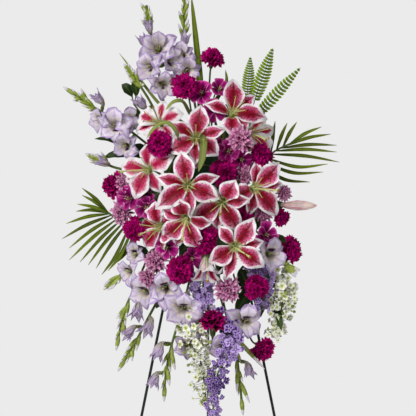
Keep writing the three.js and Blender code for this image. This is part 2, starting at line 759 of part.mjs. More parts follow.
const SPRAYS = [
  {
    name: "chrysanthemum_spray_top",
    kind: "chrysanthemum",
    share: 0.62,
    heads: [
      { at: [80, 1424, -304], look: [-0.2, -0.95, 0.1], radius: 32 },
      { at: [92, 1333, -268], look: [0.2, -1, 0], radius: 24 },
      { at: [-31, 1371, -256], look: [0, -1, 0.1], radius: 20 },
    ],
  },
  {
    name: "chrysanthemum_spray_left",
    kind: "chrysanthemum",
    share: 0.55,
    heads: [
      { at: [-210, 1314, -238], look: [-0.35, -0.95, 0], radius: 26 },
      { at: [-216, 1240, -240], look: [-0.4, -0.9, -0.1], radius: 29 },
    ],
  },
  {
    name: "chrysanthemum_spray_right",
    kind: "chrysanthemum",
    share: 0.55,
    heads: [
      { at: [140, 1240, -268], look: [0.3, -0.95, -0.1], radius: 25 },
      { at: [190, 1288, -238], look: [0.5, -0.85, 0], radius: 21 },
    ],
  },
  {
    name: "chrysanthemum_spray_low_left",
    kind: "chrysanthemum",
    share: 0.55,
    heads: [
      { at: [-131, 1118, -272], look: [-0.3, -0.95, -0.15], radius: 30 },
      { at: [-152, 1076, -276], look: [-0.4, -0.85, -0.3], radius: 24 },
    ],
  },
  {
    name: "chrysanthemum_spray_low",
    kind: "chrysanthemum",
    share: 0.6,
    heads: [{ at: [49, 1048, -284], look: [0, -1, -0.2], radius: 33 }],
  },
  {
    name: "alstroemeria_top",
    kind: "alstroemeria",
    share: 0.62,
    heads: [
      { at: [-16, 1541, -232], look: [-0.2, -0.9, 0.2], radius: 27 },
      { at: [30, 1551, -225], look: [0.3, -0.8, 0.4], radius: 22 },
      { at: [14, 1496, -248], look: [0, -1, 0], radius: 26 },
    ],
  },
  {
    name: "alstroemeria_middle",
    kind: "alstroemeria",
    share: 0.72,
    heads: [
      { at: [14, 1407, -262], look: [-0.1, -1, 0.1], radius: 25 },
      { at: [52, 1394, -272], look: [0.1, -1, 0], radius: 26 },
      { at: [84, 1372, -262], look: [0.2, -1, -0.1], radius: 24 },
    ],
  },
  {
    name: "alstroemeria_left",
    kind: "alstroemeria",
    share: 0.62,
    heads: [
      { at: [-202, 1276, -252], look: [-0.5, -0.9, 0.1], radius: 28 },
      { at: [-163, 1288, -262], look: [-0.2, -1, 0], radius: 25 },
      { at: [-154, 1252, -272], look: [-0.2, -1, -0.1], radius: 24 },
    ],
  },
  {
    name: "alstroemeria_right",
    kind: "alstroemeria",
    share: 0.6,
    heads: [{ at: [147, 1184, -262], look: [0.3, -0.95, 0], radius: 27 }],
  },
  {
    name: "alstroemeria_low",
    kind: "alstroemeria",
    share: 0.6,
    heads: [
      { at: [-104, 1152, -300], look: [-0.2, -0.95, -0.1], radius: 25 },
      { at: [-40, 1124, -285], look: [0, -1, -0.2], radius: 24 },
    ],
  },
];

function sprays() {
  const heads = { chrysanthemum: chrysanthemumHead, alstroemeria: alstroemeriaHead };
  return SPRAYS.map(({ name, kind, share, heads: list }) => {
    const piece = new CutPiece(name, COLOURS[kind]);
    const places = list.map(({ at: [x, z, y] }) => spot(x, z, y));
    const { seat, fork } = forkOf(places, share);
    list.forEach(({ look, radius }, k) => {
      const facing = vec(...look);
      const base = heads[kind](piece, places[k], facing, radius);
      const route = stemRoute(base, facing, fork);
      piece.stem(k ? route : [seat, ...route], k ? STEM_RADIUS - 0.6 : STEM_RADIUS);
    });
    return piece;
  });
}

// Gladiolus spikes: a route on the picture plane, open florets and the buds toward the tip
const GLADIOLUS_SPIKES = [
  {
    name: "gladiolus_tall_left",
    route: [[-100, 1471, -150], [-122, 1584, -165], [-142, 1684, -176], [-154, 1758, -180]],
    florets: [
      { at: [-124, 1651, -212], look: [-0.05, -1, 0.1], reach: 46 },
      { at: [-162, 1668, -196], look: [-0.7, -0.6, 0.3], reach: 24, open: 0.3 },
      { at: [-146, 1702, -196], look: [-0.1, -0.8, 0.6], reach: 24, open: 0.3 },
      { at: [-88, 1618, -200], look: [0.6, -0.8, 0.1], reach: 36 },
      { at: [-148, 1604, -206], look: [-0.45, -0.9, -0.2], reach: 36 },
      { at: [-112, 1560, -212], look: [0.2, -1, -0.2], reach: 38 },
    ],
    buds: [[0.99, -170, 1764, -186], [0.93, -140, 1736, -194], [0.86, -168, 1722, -190]],
  },
  {
    name: "gladiolus_tall_right",
    route: [[-26, 1471, -128], [-46, 1584, -146], [-60, 1681, -160], [-58, 1790, -165]],
    florets: [
      { at: [-58, 1668, -190], look: [0.15, -0.9, 0.3], reach: 26, open: 0.4 },
      { at: [-66, 1634, -196], look: [-0.15, -1, 0], reach: 34 },
      { at: [-52, 1594, -202], look: [0.1, -1, -0.15], reach: 33 },
    ],
    buds: [[0.99, -66, 1804, -172], [0.94, -48, 1772, -176], [0.88, -74, 1744, -178], [0.82, -46, 1712, -180]],
  },
  {
    name: "gladiolus_upper_left_bud",
    route: [[-110, 1451, -165], [-150, 1526, -185], [-178, 1568, -188], [-200, 1600, -188]],
    florets: [{ at: [-164, 1510, -212], look: [-0.5, -0.8, 0.25], reach: 27, open: 0.5 }],
    buds: [[0.99, -212, 1612, -192], [0.92, -186, 1596, -200], [0.84, -194, 1566, -200], [0.74, -160, 1560, -205]],
  },
  {
    name: "gladiolus_left",
    route: [[-165, 1421, -170], [-228, 1468, -188], [-290, 1506, -192], [-346, 1544, -190]],
    florets: [
      { at: [-233, 1456, -228], look: [-0.2, -1, 0], reach: 43 },
      { at: [-274, 1474, -216], look: [-0.6, -0.8, -0.1], reach: 30 },
      { at: [-272, 1522, -206], look: [-0.2, -0.6, 0.8], reach: 26, open: 0.4 },
      { at: [-196, 1468, -216], look: [0.3, -0.9, 0.2], reach: 32 },
      { at: [-208, 1404, -220], look: [-0.35, -0.9, -0.3], reach: 34 },
    ],
    buds: [[0.99, -362, 1554, -194], [0.93, -338, 1520, -202], [0.86, -318, 1550, -204], [0.78, -300, 1494, -206]],
  },
  {
    name: "gladiolus_left_small",
    route: [[-165, 1338, -185], [-238, 1354, -192], [-290, 1378, -190]],
    florets: [{ at: [-262, 1366, -212], look: [-0.7, -0.7, 0.2], reach: 22, open: 0.3 }],
    buds: [[0.99, -308, 1388, -194], [0.9, -296, 1366, -200], [0.8, -268, 1392, -204]],
  },
  {
    name: "gladiolus_low_left_pair",
    route: [[-118, 1140, -190], [-182, 1118, -212], [-214, 1088, -222], [-250, 1056, -222]],
    second: [[-150, 1128, -204], [-180, 1060, -222], [-208, 996, -228], [-228, 908, -222]],
    florets: [
      { at: [-202, 1092, -244], look: [-0.6, -0.8, -0.1], reach: 29 },
      { at: [-184, 1136, -240], look: [-0.3, -0.9, 0.2], reach: 24 },
      { at: [-162, 1040, -252], look: [-0.45, -0.9, -0.1], reach: 36, on: "second" },
      { at: [-176, 998, -248], look: [0.1, -0.9, -0.3], reach: 27, open: 0.5, on: "second" },
    ],
    buds: [[0.99, -262, 1046, -226], [0.86, -224, 1062, -236]],
    secondBuds: [[0.99, -230, 894, -226], [0.88, -206, 926, -234], [0.76, -226, 956, -236]],
  },
  {
    name: "gladiolus_low_left",
    route: [[-98, 1070, -200], [-142, 990, -222], [-180, 918, -228], [-216, 858, -224]],
    florets: [
      { at: [-108, 1050, -270], look: [-0.1, -1, -0.1], reach: 40 },
      { at: [-194, 944, -244], look: [-0.7, -0.7, -0.1], reach: 24, open: 0.5 },
      { at: [-148, 956, -254], look: [0.1, -0.9, -0.4], reach: 28, open: 0.6 },
    ],
    buds: [[0.99, -226, 842, -228], [0.88, -190, 868, -236], [0.78, -204, 894, -238]],
  },
  {
    name: "gladiolus_low_middle",
    route: [[-56, 1030, -205], [-76, 960, -222], [-98, 880, -228], [-112, 782, -224]],
    florets: [
      { at: [-62, 998, -278], look: [0, -1, -0.1], reach: 43 },
      { at: [-122, 896, -250], look: [-0.5, -0.8, -0.3], reach: 27, open: 0.5 },
      { at: [-48, 910, -256], look: [0.3, -0.9, -0.3], reach: 34 },
      { at: [-132, 824, -246], look: [-0.5, -0.8, -0.3], reach: 23, open: 0.4 },
    ],
    buds: [[0.99, -110, 766, -228], [0.88, -96, 806, -236], [0.76, -82, 846, -240]],
  },
  {
    name: "gladiolus_low_right",
    route: [[44, 990, -200], [66, 920, -222], [76, 850, -228], [86, 748, -224]],
    florets: [
      { at: [96, 966, -258], look: [0.2, -1, 0], reach: 40 },
      { at: [38, 900, -260], look: [-0.2, -1, -0.2], reach: 33 },
      { at: [100, 850, -248], look: [0.4, -0.8, -0.4], reach: 24, open: 0.5 },
    ],
    buds: [[0.99, 88, 732, -228], [0.88, 104, 764, -236], [0.78, 72, 790, -240], [0.5, 142, 848, -236]],
  },
  {
    name: "gladiolus_right",
    route: [[118, 1146, -205], [158, 1132, -226], [186, 1112, -232], [210, 1096, -232]],
    florets: [{ at: [158, 1136, -256], look: [0.35, -0.9, 0.05], reach: 34 }],
    buds: [[0.98, 224, 1086, -236], [0.86, 206, 1120, -244]],
  },
];

// A funnel of six ruffled lobes, and the narrower one of a floret still opening
const GLADIOLUS_RINGS = [
  ["under", 0, 0, -1, -1],
  ["rim", 1, 0.7, -0.06, 0.1],
  ["over", 0.44, 0.34, -0.16, -0.22],
  ["over", 0, 0, -0.55, -0.55],
];
const OPENING_RINGS = [
  ["under", 0, 0, -1.25, -1.25],
  ["rim", 1, 0.6, 0.6, 0.2],
  ["over", 0, 0, -0.2, -0.2],
];

const BUD = { radius: 7, sides: 3, widest: 0.45 };

/** A gladiolus floret, its tube drawn down to the spike that carries it. */
function gladiolusFloret(piece, at, look, reach, open, carrier) {
  const frame = new FlowerFrame(at, look);
  const opening = open < 1;
  const root = carrier.getPointAt(nearest(carrier, frame.point(0, 0, -0.9 * reach)));
  const rings = opening ? OPENING_RINGS : GLADIOLUS_RINGS;
  const lobes = opening ? LOBES.opening : LOBES.gladiolus;
  piece.head((grow) => lobed(frame, { lobes, radius: reach, rings, root }, grow));
  piece.depths.push(at.y);
}

/** The place along a curve that lies nearest to a point. */
function nearest(curve, point) {
  const steps = 40;
  let best = 0;
  let least = Infinity;
  for (let k = 0; k <= steps; k += 1) {
    const gap = curve.getPointAt(k / steps).distanceTo(point);
    if (gap < least) {
      least = gap;
      best = k / steps;
    }
  }
  return best;
}

function gladioli() {
  return GLADIOLUS_SPIKES.map(({ name, route, second, florets, buds, secondBuds = [] }) => {
    const piece = new CutPiece(name, COLOURS.gladiolus);
    const [x, z] = route[0];
    const main = [foamSeat(x * 1.1, z), ...route.map(([px, pz, y]) => spot(px, pz, y))];
    const carriers = { main: stemThrough(main) };
    piece.stem(main, 3.2);
    if (second) {
      const branch = second.map(([px, pz, y]) => spot(px, pz, y));
      branch.unshift(carriers.main.getPointAt(nearest(carriers.main, branch[0])));
      carriers.second = stemThrough(branch);
      piece.stem(branch, 3);
    }
    florets.forEach(({ at: [px, pz, y], look, reach, open = 1, on = "main" }) => {
      gladiolusFloret(piece, spot(px, pz, y), vec(...look), reach, open, carriers[on]);
    });
    const addBud = (carrier) => ([t, px, pz, y]) => {
      const from = carrier.getPointAt(Math.max(0, t - 0.06));
      const tip = spot(px, pz, y);
      piece.head((grow) => spindle(from, tip, BUD.radius, BUD.sides, BUD.widest, grow));
    };
    buds.forEach(addBud(carriers.main));
    secondBuds.forEach(addBud(carriers.second));
    return piece;
  });
}

// Larkspur and lace: a route with florets round it
const STARRED_STEMS = [
  {
    name: "larkspur_hanging",
    colour: "larkspur",
    route: [[30, 1030, -205], [56, 960, -250], [50, 892, -288], [28, 800, -256], [24, 728, -236]],
    florets: 11,
    from: 0.3,
    around: 13,
    radius: 15,
  },
  {
    name: "larkspur_right",
    colour: "larkspur",
    route: [[110, 1120, -210], [140, 1072, -236], [150, 1010, -236]],
    florets: 6,
    from: 0.42,
    around: 13,
    radius: 14,
  },
  {
    name: "larkspur_left",
    colour: "larkspur",
    route: [[-14, 1110, -215], [-12, 1060, -262], [-8, 1000, -262]],
    florets: 6,
    from: 0.48,
    around: 13,
    radius: 14,
  },
  {
    name: "lace_flower_right",
    colour: "lace",
    route: [[140, 1060, -200], [192, 1064, -216], [196, 1012, -220], [178, 930, -216]],
    florets: 7,
    from: 0.45,
    around: 12,
    radius: 11,
  },
  {
    name: "lace_flower_low",
    colour: "lace",
    route: [[-22, 1040, -205], [-28, 980, -238], [-24, 880, -232], [-18, 772, -226]],
    florets: 8,
    from: 0.3,
    around: 12,
    radius: 11,
  },
];
const GOLDEN_TURN = 137.5;

function starredStems() {
  return STARRED_STEMS.map(({ name, colour, route, florets, from, around, radius }) => {
    const piece = new CutPiece(name, COLOURS[colour]);
    const [x, z] = route[0];
    const points = [foamSeat(x * 1.1, z), ...route.map(([px, pz, y]) => spot(px, pz, y))];
    const curve = stemThrough(points);
    piece.stem(points, 2);
    for (let k = 0; k < florets; k += 1) {
      const t = from + ((1 - from) * (k + 0.5)) / florets;
      const along = curve.getTangentAt(t);
      const ring = new FlowerFrame(curve.getPointAt(t), along);
      const out = ring.polar(GOLDEN_TURN * k, around * (1 - 0.35 * t), 0);
      const look = out.sub(ring.origin).add(vec(0, -0.6 * around, 0)).normalize();
      const face = new FlowerFrame(ring.origin.clone().addScaledVector(look, around), look);
      const size = radius * (1.05 - 0.4 * (t - from));
      const rings = [
        ["under", 0, 0, -around / size, 0],
        ["rim", 1, 0.46, 0.1, 0],
        ["over", 0, 0, -0.12, 0],
      ];
      piece.head((grow) => lobed(face, { lobes: LOBES[colour], radius: size, rings }, grow));
    }
    piece.depths.push(points[2].y);
    return piece;
  });
}

// Palm leaves: a rib on the picture plane and the tip of each leaflet, from the base outward
const PALMS = [
  {
    name: "palm_leaf_right",
    rib: [[128, 1352, -160], [146, 1376, -172], [172, 1396, -180], [206, 1412, -184]],
    tips: [
      [255, 1316], [288, 1341], [300, 1361], [328, 1366], [322, 1391], [322, 1408],
      [307, 1436], [284, 1454], [222, 1466], [198, 1464], [168, 1468], [140, 1458],
    ],
    spread: [0.3, 0.4, 0.5, 0.62, 0.72, 0.82, 0.92, 0.98, 0.86, 0.74, 0.6, 0.46],
    depth: -184,
  },
  {
    name: "palm_leaf_left",
    rib: [[-165, 1186, -170], [-200, 1206, -184], [-232, 1226, -190], [-250, 1240, -192]],
    tips: [
      [-315, 1301], [-315, 1283], [-327, 1261], [-330, 1243], [-355, 1212], [-365, 1174],
      [-347, 1151], [-347, 1121], [-320, 1116], [-300, 1108], [-280, 1100], [-266, 1084], [-250, 1094], [-232, 1112],
    ],
    spread: [0.99, 0.96, 0.92, 0.98, 0.94, 0.88, 0.8, 0.72, 0.66, 0.6, 0.54, 0.48, 0.42, 0.36],
    depth: -186,
  },
];

function palms() {
  return PALMS.map(({ name, rib, tips, spread, depth }) => {
    const piece = new CutPiece(name, COLOURS.palm);
    const [x, z] = rib[0];
    const points = [foamSeat(x * 1.1, z), ...rib.map(([px, pz, y]) => spot(px, pz, y))];
    const curve = stemThrough(points);
    piece.stem(points, 2.6);
    tips.forEach(([px, pz], k) => {
      const root = curve.getPointAt(spread[k]);
      const tip = spot(px, pz, depth + (k % 2 ? 7 : -7));
      const middle = root.clone().lerp(tip, 0.5).add(vec(0, -6, 5));
      const set = {
        path: [root, middle, tip],
        rows: [[0, 0.2, 1], [0.4, 1, 2], [1, 0.04, 1]],
        width: 9.5,
        face: vec(0, -1, 0.15),
        thickness: 1,
      };
      piece.head((grow) => blade(set, grow));
    });
    piece.depths.push(depth);
    return piece;
  });
}

/**
 * A fern frond with its stalk: one thin arched blade, its outline cut to the rib between
 * the leaflets, which start a share of the way up.
 */
function frondSolid(curve, face, { half, pairs, bare }, grow) {
  const points = [];
  const neck = 1.4 + grow;
  const thick = 0.6 + grow;
  const row = (t, reach) => {
    const along = curve.getTangentAt(t);
    const normal = face.clone().addScaledVector(along, -face.dot(along)).normalize();
    const side = vec(0, 0, 0).crossVectors(normal, along);
    return [-reach, reach].map((across) => {
      const at = curve.getPointAt(t).addScaledVector(side, across);
      points.push(at.clone().addScaledVector(normal, thick), at.addScaledVector(normal, -thick));
      return [points.length - 2, points.length - 1];
    });
  };
  const rows = [row(0, neck)];
  const triangles = [];
  const rims = [[rows[0][0]], [rows[0][1]]];
  const close = (a, b, c) => triangles.push([a[0], b[0], c[0]], [a[1], c[1], b[1]]);
  for (let k = 0; k <= pairs; k += 1) {
    const share = k / pairs;
    const next = row(bare + (1 - bare) * share, neck);
    const last = rows[rows.length - 1];
    close(last[0], next[0], next[1]);
    close(last[0], next[1], last[1]);
    if (k > 0) {
      const reach = half * Math.sin(Math.PI * Math.min(0.93, 0.22 + 0.74 * share)) + grow;
      const tips = row(bare + (1 - bare) * Math.min(1, share + 0.3 / pairs), reach);
      close(last[0], tips[0], next[0]);
      close(last[1], next[1], tips[1]);
      rims[0].push(tips[0]);
      rims[1].push(tips[1]);
    }
    rims[0].push(next[0]);
    rims[1].push(next[1]);
    rows.push(next);
  }
  const rim = [...rims[0], ...rims[1].reverse()];
  rim.forEach((here, k) => {
    const next = rim[(k + 1) % rim.length];
    triangles.push([here[1], next[1], next[0]], [here[1], next[0], here[0]]);
  });
  return facets(points, triangles);
}

function ferns() {
  const piece = new CutPiece("fern_fronds", COLOURS.fern);
  const fork = spot(104, 1470, -160);
  const seat = foamSeat(110, 1478);
  piece.stem([seat, fork]);
  const fronds = [
    { from: [97, 1520, -180], to: [106, 1629, -186], half: 16 },
    { from: [118, 1524, -186], to: [162, 1651, -192], half: 19 },
    { from: [134, 1496, -186], to: [231, 1602, -196], half: 16 },
  ];
  fronds.forEach(({ from, to, half }) => {
    const root = spot(...from);
    const tip = spot(...to);
    const arch = root.clone().lerp(tip, 0.5).add(vec(0, -8, 0));
    const start = fork.clone().add(fork.clone().sub(root).setLength(STALK_SINK));
    const curve = new THREE.CatmullRomCurve3([start, root, arch, tip], false, "centripetal");
    const bare = fork.distanceTo(root) / (fork.distanceTo(root) + root.distanceTo(tip));
    piece.head((grow) => frondSolid(curve, vec(0, -1, 0.1), { half, pairs: 6, bare }, grow));
  });
  piece.depths.push(-180);
  return piece;
}

/** A leaf with its stalk, as one blade from the nearest of its twigs to its tip. */
function leafFrom(piece, twigs, { from, to, width }) {
  const root = spot(...from);
  const tip = spot(...to);
  const middle = root.clone().lerp(tip, 0.5).add(vec(0, -5, 6));
  const starts = twigs.map((twig) => twig.getPointAt(nearest(twig, root)));
  const start = starts.reduce((best, at) => (at.distanceTo(root) < best.distanceTo(root) ? at : best), starts[0]);
  start.add(start.clone().sub(root).setLength(STALK_SINK / 3));
  const set = {
    path: [start, root, middle, tip],
    rows: [[0, 0.05, 1], [1 / 3, 0.12, 2], [0.6, 1, 3], [0.84, 0.66, 2], [1, 0.02, 1]],
    width,
    face: vec(0, -1, 0.2),
    cup: 0.2,
    thickness: 1.4,
  };
  piece.head((grow) => blade(set, grow));
}

const LEAF_SPRAYS = [
  {
    name: "leaf_spray_left",
    twig: [[-70, 1330, -112], [-110, 1400, -136], [-150, 1462, -156], [-186, 1512, -172]],
    branch: [[-92, 1306, -92], [-94, 1200, -98], [-92, 1110, -124], [-84, 1030, -150]],
    leaves: [
      { from: [-190, 1530, -172], to: [-216, 1560, -176], width: 26 },
      { from: [-180, 1530, -178], to: [-182, 1574, -184], width: 24 },
      { from: [-166, 1476, -168], to: [-200, 1490, -180], width: 20 },
      { from: [-214, 1412, -172], to: [-284, 1424, -180], width: 14 },
      { from: [-200, 1384, -166], to: [-262, 1376, -172], width: 20 },
      { from: [-150, 1330, -120], to: [-236, 1322, -128], width: 42 },
      { from: [-130, 1290, -100], to: [-222, 1256, -104], width: 44 },
      { from: [-80, 1440, -110], to: [-120, 1510, -112], width: 44 },
      { from: [-140, 1390, -118], to: [-215, 1385, -120], width: 40 },
      { from: [-100, 1400, -110], to: [-36, 1460, -104], width: 42 },
      { from: [-90, 1220, -110], to: [-160, 1180, -112], width: 44 },
      { from: [-92, 1150, -120], to: [-160, 1110, -124], width: 44 },
      { from: [-88, 1110, -130], to: [-30, 1060, -134], width: 42 },
      { from: [-84, 1060, -144], to: [-130, 1000, -148], width: 40 },
    ],
  },
  {
    name: "leaf_spray_right",
    twig: [[70, 1222, -100], [104, 1130, -134], [138, 1076, -160], [166, 1024, -180]],
    branch: [[72, 1300, -98], [78, 1390, -92], [84, 1470, -92]],
    leaves: [
      { from: [160, 1052, -180], to: [190, 1053, -192], width: 13 },
      { from: [172, 1004, -184], to: [182, 946, -190], width: 20 },
      { from: [126, 1160, -116], to: [206, 1166, -122], width: 42 },
      { from: [110, 1226, -104], to: [196, 1262, -110], width: 44 },
      { from: [84, 1100, -128], to: [104, 1016, -136], width: 42 },
      { from: [76, 1340, -96], to: [134, 1345, -96], width: 40 },
      { from: [80, 1400, -92], to: [16, 1440, -90], width: 44 },
      { from: [82, 1410, -94], to: [150, 1400, -96], width: 44 },
      { from: [84, 1450, -92], to: [30, 1510, -92], width: 42 },
      { from: [84, 1474, -94], to: [124, 1440, -96], width: 40 },
    ],
  },
];

function leafSprays() {
  return LEAF_SPRAYS.map(({ name, twig, branch, leaves }) => {
    const piece = new CutPiece(name, COLOURS.leaf);
    const points = twig.map(([x, z, y]) => spot(x, z, y));
    const side = [points[0], ...branch.map(([x, z, y]) => spot(x, z, y))];
    piece.stem([foamSeat(twig[0][0], twig[0][1]), ...points]);
    piece.stem(side, STEM_RADIUS - 0.4);
    leaves.forEach((leaf) => leafFrom(piece, [stemThrough(points), stemThrough(side)], leaf));
    piece.depths.push(twig[0][2]);
    return piece;
  });
}

// Lily grass, bent over in loops: its way from the blades' fork to its tip
const GRASS_RADIUS = 2;
const GRASS_LOOPS = [
  [[-66, 1428, -212], [-76, 1446, -262], [-98, 1464, -286], [-118, 1462, -290], [-136, 1444, -292], [-152, 1428, -290]],
  [[-46, 1490, -214], [-66, 1520, -250], [-88, 1516, -262], [-106, 1496, -264]],
];

/** Long narrow blades and the two curled loops of lily grass. */
function longBlades() {
  const piece = new CutPiece("long_blades", COLOURS.blade);
  const fork = spot(-22, 1444, -191);
  const seat = foamSeat(-24, 1440);
  piece.stem([seat, fork]);
  const runs = [
    { route: [[-22, 1440, -190], [-20, 1560, -196], [-30, 1670, -190], [-42, 1784, -182]], width: 17 },
    { route: [[-22, 1440, -190], [-110, 1500, -186], [-170, 1572, -186], [-222, 1638, -184]], width: 8 },
    { route: [[-22, 1440, -190], [20, 1520, -200], [46, 1566, -200], [44, 1596, -198]], width: 10 },
  ];
  runs.forEach(({ route, width }) => {
    const set = {
      path: route.map(([x, z, y]) => spot(x, z, y)),
      rows: [[0, 0.5, 2], [0.35, 1, 3], [0.7, 0.8, 3], [1, 0.05, 1]],
      width,
      face: vec(0, -1, 0.05),
      cup: 0.18,
      thickness: 1.2,
    };
    piece.head((grow) => blade(set, grow));
  });
  GRASS_LOOPS.forEach((places) => {
    const points = places.map(([x, z, y]) => spot(x, z, y));
    points.unshift(fork);
    piece.head((grow) => rod(stemThrough(points), GRASS_RADIUS + grow, 3, points.length - 1));
  });
  piece.depths.push(-190);
  return piece;
}

/** The largest of a solid's separate bodies. */
function largest(solid) {
  const bodies = solid.decompose();
  return bodies.reduce((best, body) => (body.volume() > best.volume() ? body : best), bodies[0]);
}

/** The one body of a solid that holds most of its stems: what was cut loose from them goes. */
function bodyOnStems(solid, stems) {
  const held = solid.decompose().map((body) => ({ body, share: body.intersect(stems).volume() }));
  return held.reduce((best, other) => (other.share > best.share ? other : best), held[0]).body;
}

/** That body again after a trip through the numbers that a mesh holds. */
function oneBody(solid, stems) {
  return bodyOnStems(toSolid(toGeometry(bodyOnStems(solid, stems))), stems);
}

function boxesMeet(a, b) {
  const p = a.boundingBox();
  const q = b.boundingBox();
  return [0, 1, 2].every((k) => p.min[k] <= q.max[k] && q.min[k] <= p.max[k]);
}

/**
 * Fits the cut pieces together: stems stay whole, the nearer heads keep their shape, and
 * whatever would cross them is cut back to a small gap.
 */
function fitTogether(pieces, hardware) {
  const inOrder = [...pieces].sort((a, b) => a.depth - b.depth);
  inOrder.forEach((piece) => {
    piece.stemGuard = Manifold.union(piece.stems.map((make) => make(GUARD)));
    piece.headGuard = Manifold.union(piece.heads.map((make) => make(GUARD)));
  });
  inOrder.forEach((piece, rank) => {
    const heads = Manifold.union(piece.heads.map((make) => make(0)));
    const stems = Manifold.union(piece.stems.map((make) => make(0)));
    const cutters = [
      ...inOrder.filter((other) => other !== piece).map((other) => other.stemGuard),
      ...inOrder.slice(0, rank).map((other) => other.headGuard),
      ...hardware,
    ].filter((cutter) => boxesMeet(cutter, heads));
    const kept = cutters.length ? heads.subtract(Manifold.union(cutters)) : heads;
    piece.solid = oneBody(Manifold.union([kept, stems]).simplify(0.05), stems);
    piece.kept = piece.solid.volume() / Manifold.union([heads, stems]).volume();
  });
}

function named(name, solid, colour) {
  const mesh = new THREE.Mesh(toGeometry(solid), new THREE.MeshStandardMaterial({ ...colour, flatShading: true }));
  mesh.name = name;
  return mesh;
}

const pieces = [
  ...lilyStalks(),
  ...carnations(),
  ...sprays(),
  ...gladioli(),
  ...starredStems(),
  ...palms(),
  ferns(),
  ...leafSprays(),
  longBlades(),
];

const hardware = {
  easel_leg_left: frontLeg(-1),
  easel_leg_right: frontLeg(1),
  easel_top_bar: topBar(),
  easel_cross_bar: crossBar(),
  easel_back_leg: backLeg(),
  foam_tray: foamTray(),
  tray_tie: frameTie(),
};

const keepClear = [frontLeg(-1, GUARD), frontLeg(1, GUARD), foamBlock(), hardware.foam_tray, backLeg()];
fitTogether(pieces, keepClear);
const holes = Manifold.union(pieces.map((piece) => piece.stemGuard));
const foam = largest(foamBlock().subtract(holes));

const group = new THREE.Group();
Object.entries(hardware).forEach(([name, solid]) => {
  group.add(named(name, solid, name === "foam_tray" ? COLOURS.tray : COLOURS.wire));
});
group.add(named("foam_block", foam, COLOURS.foam));
pieces.forEach((piece) => group.add(named(piece.name, piece.solid, piece.colour)));

// The origin is on the floor, under the middle of the whole piece
const extent = new THREE.Box3().setFromObject(group).getCenter(vec(0, 0, 0));
group.position.set(-extent.x, -extent.y, 0);

export default group;
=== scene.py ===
"""Standing funeral spray on a wire easel: the finished pieces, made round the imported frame.

Placements are millimetres read on the flowers' face plane, and meshes are metres in the frame.
"""

import logging
import math
from collections.abc import Callable, Sequence
from dataclasses import dataclass, field
from enum import Enum
from functools import lru_cache, reduce
from typing import ClassVar

import bpy
import numpy as np
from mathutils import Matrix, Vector


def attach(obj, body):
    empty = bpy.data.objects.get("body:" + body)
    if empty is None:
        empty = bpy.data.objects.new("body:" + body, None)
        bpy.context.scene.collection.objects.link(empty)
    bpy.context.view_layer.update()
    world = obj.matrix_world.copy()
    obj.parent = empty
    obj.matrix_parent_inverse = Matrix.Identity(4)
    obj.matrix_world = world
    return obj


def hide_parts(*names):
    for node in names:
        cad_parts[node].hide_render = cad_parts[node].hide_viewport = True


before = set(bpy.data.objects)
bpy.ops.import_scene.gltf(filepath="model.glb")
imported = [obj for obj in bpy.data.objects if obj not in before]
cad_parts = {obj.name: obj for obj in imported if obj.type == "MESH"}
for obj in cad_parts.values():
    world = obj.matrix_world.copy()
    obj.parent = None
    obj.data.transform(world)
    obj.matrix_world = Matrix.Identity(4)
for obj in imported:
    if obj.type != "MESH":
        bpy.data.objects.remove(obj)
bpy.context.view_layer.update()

LOG = logging.getLogger("spray")
MM = 0.001
# The placements' own origin lies this far from the frame's.
FRAME_SHIFT = np.array([18.545, -21.970, 0.0])
FACE_PLANE = -200.0
EYE_HEIGHT = 1251.0
EYE_DISTANCE = 4200.0
PICTURE_SIDE = 1040.0
GOLDEN_TURN = 137.5
TURN = 6.28
UP = np.array([0.0, 0.0, 1.0])
TOWARD_VIEWER = np.array([0.0, -1.0, 0.0])

Array = np.ndarray
Points = Sequence[Array]
Numbers = Sequence[float] | Array
Draw = np.random.Generator
Item = bpy.types.Object
Socket = bpy.types.NodeSocket
Place = tuple[float, float, float]
Fork = tuple[Array, Array]
Lift = Callable[[Array, Array, Array], Array]
Colour = tuple[int, int, int]
Pair = tuple[float, float]
Stops = tuple[Pair, ...]


def spot(x: float, z: float, y: float) -> Array:
    """Find a place that was read on the face plane, drawn in toward the view axis by its depth.

    Args:
        x: Millimetres to the right on the face plane.
        z: Millimetres up on the face plane.
        y: The place's own depth.

    Returns:
        The point in millimetres.
    """
    share = 1 + (y - FACE_PLANE) / EYE_DISTANCE
    return np.array([x * share, y, EYE_HEIGHT + (z - EYE_HEIGHT) * share])


def spots(places: Sequence[Place]) -> list[Array]:
    """Return the points of several places."""
    return [spot(*place) for place in places]


def unit(vector: Numbers) -> Array:
    """Return the vector at length one."""
    array = np.asarray(vector, float)
    return array / (np.linalg.norm(array, axis=-1, keepdims=True) + 1e-12)


def smooth_curve(points: Points, count: int) -> Array:
    """Draw a centripetal curve through points.

    Args:
        points: The points it passes, two or more.
        count: How many points to return, the same number on each span.

    Returns:
        An array of count points.
    """
    pts = np.asarray(points, float)
    if len(pts) == 2:
        share = np.linspace(0, 1, count)[:, None]
        return pts[0] * (1 - share) + pts[1] * share
    padded = np.vstack([2 * pts[0] - pts[1], pts, 2 * pts[-1] - pts[-2]])
    place = np.linspace(0, len(pts) - 1, count)
    span = np.minimum(place.astype(int), len(pts) - 2)
    w = (place - span)[:, None]
    p0, p1, p2, p3 = (padded[span + j] for j in range(4))
    d0, d1, d2 = (
        np.sqrt(np.linalg.norm(b - a, axis=1))[:, None] + 1e-9 for a, b in ((p0, p1), (p1, p2), (p2, p3))
    )
    t1 = ((p1 - p0) / d0 - (p2 - p0) / (d0 + d1) + (p2 - p1) / d1) * d1
    t2 = ((p2 - p1) / d1 - (p3 - p1) / (d1 + d2) + (p3 - p2) / d2) * d1
    return p1 + t1 * w + (-3 * p1 + 3 * p2 - 2 * t1 - t2) * w**2 + (2 * p1 - 2 * p2 + t1 + t2) * w**3


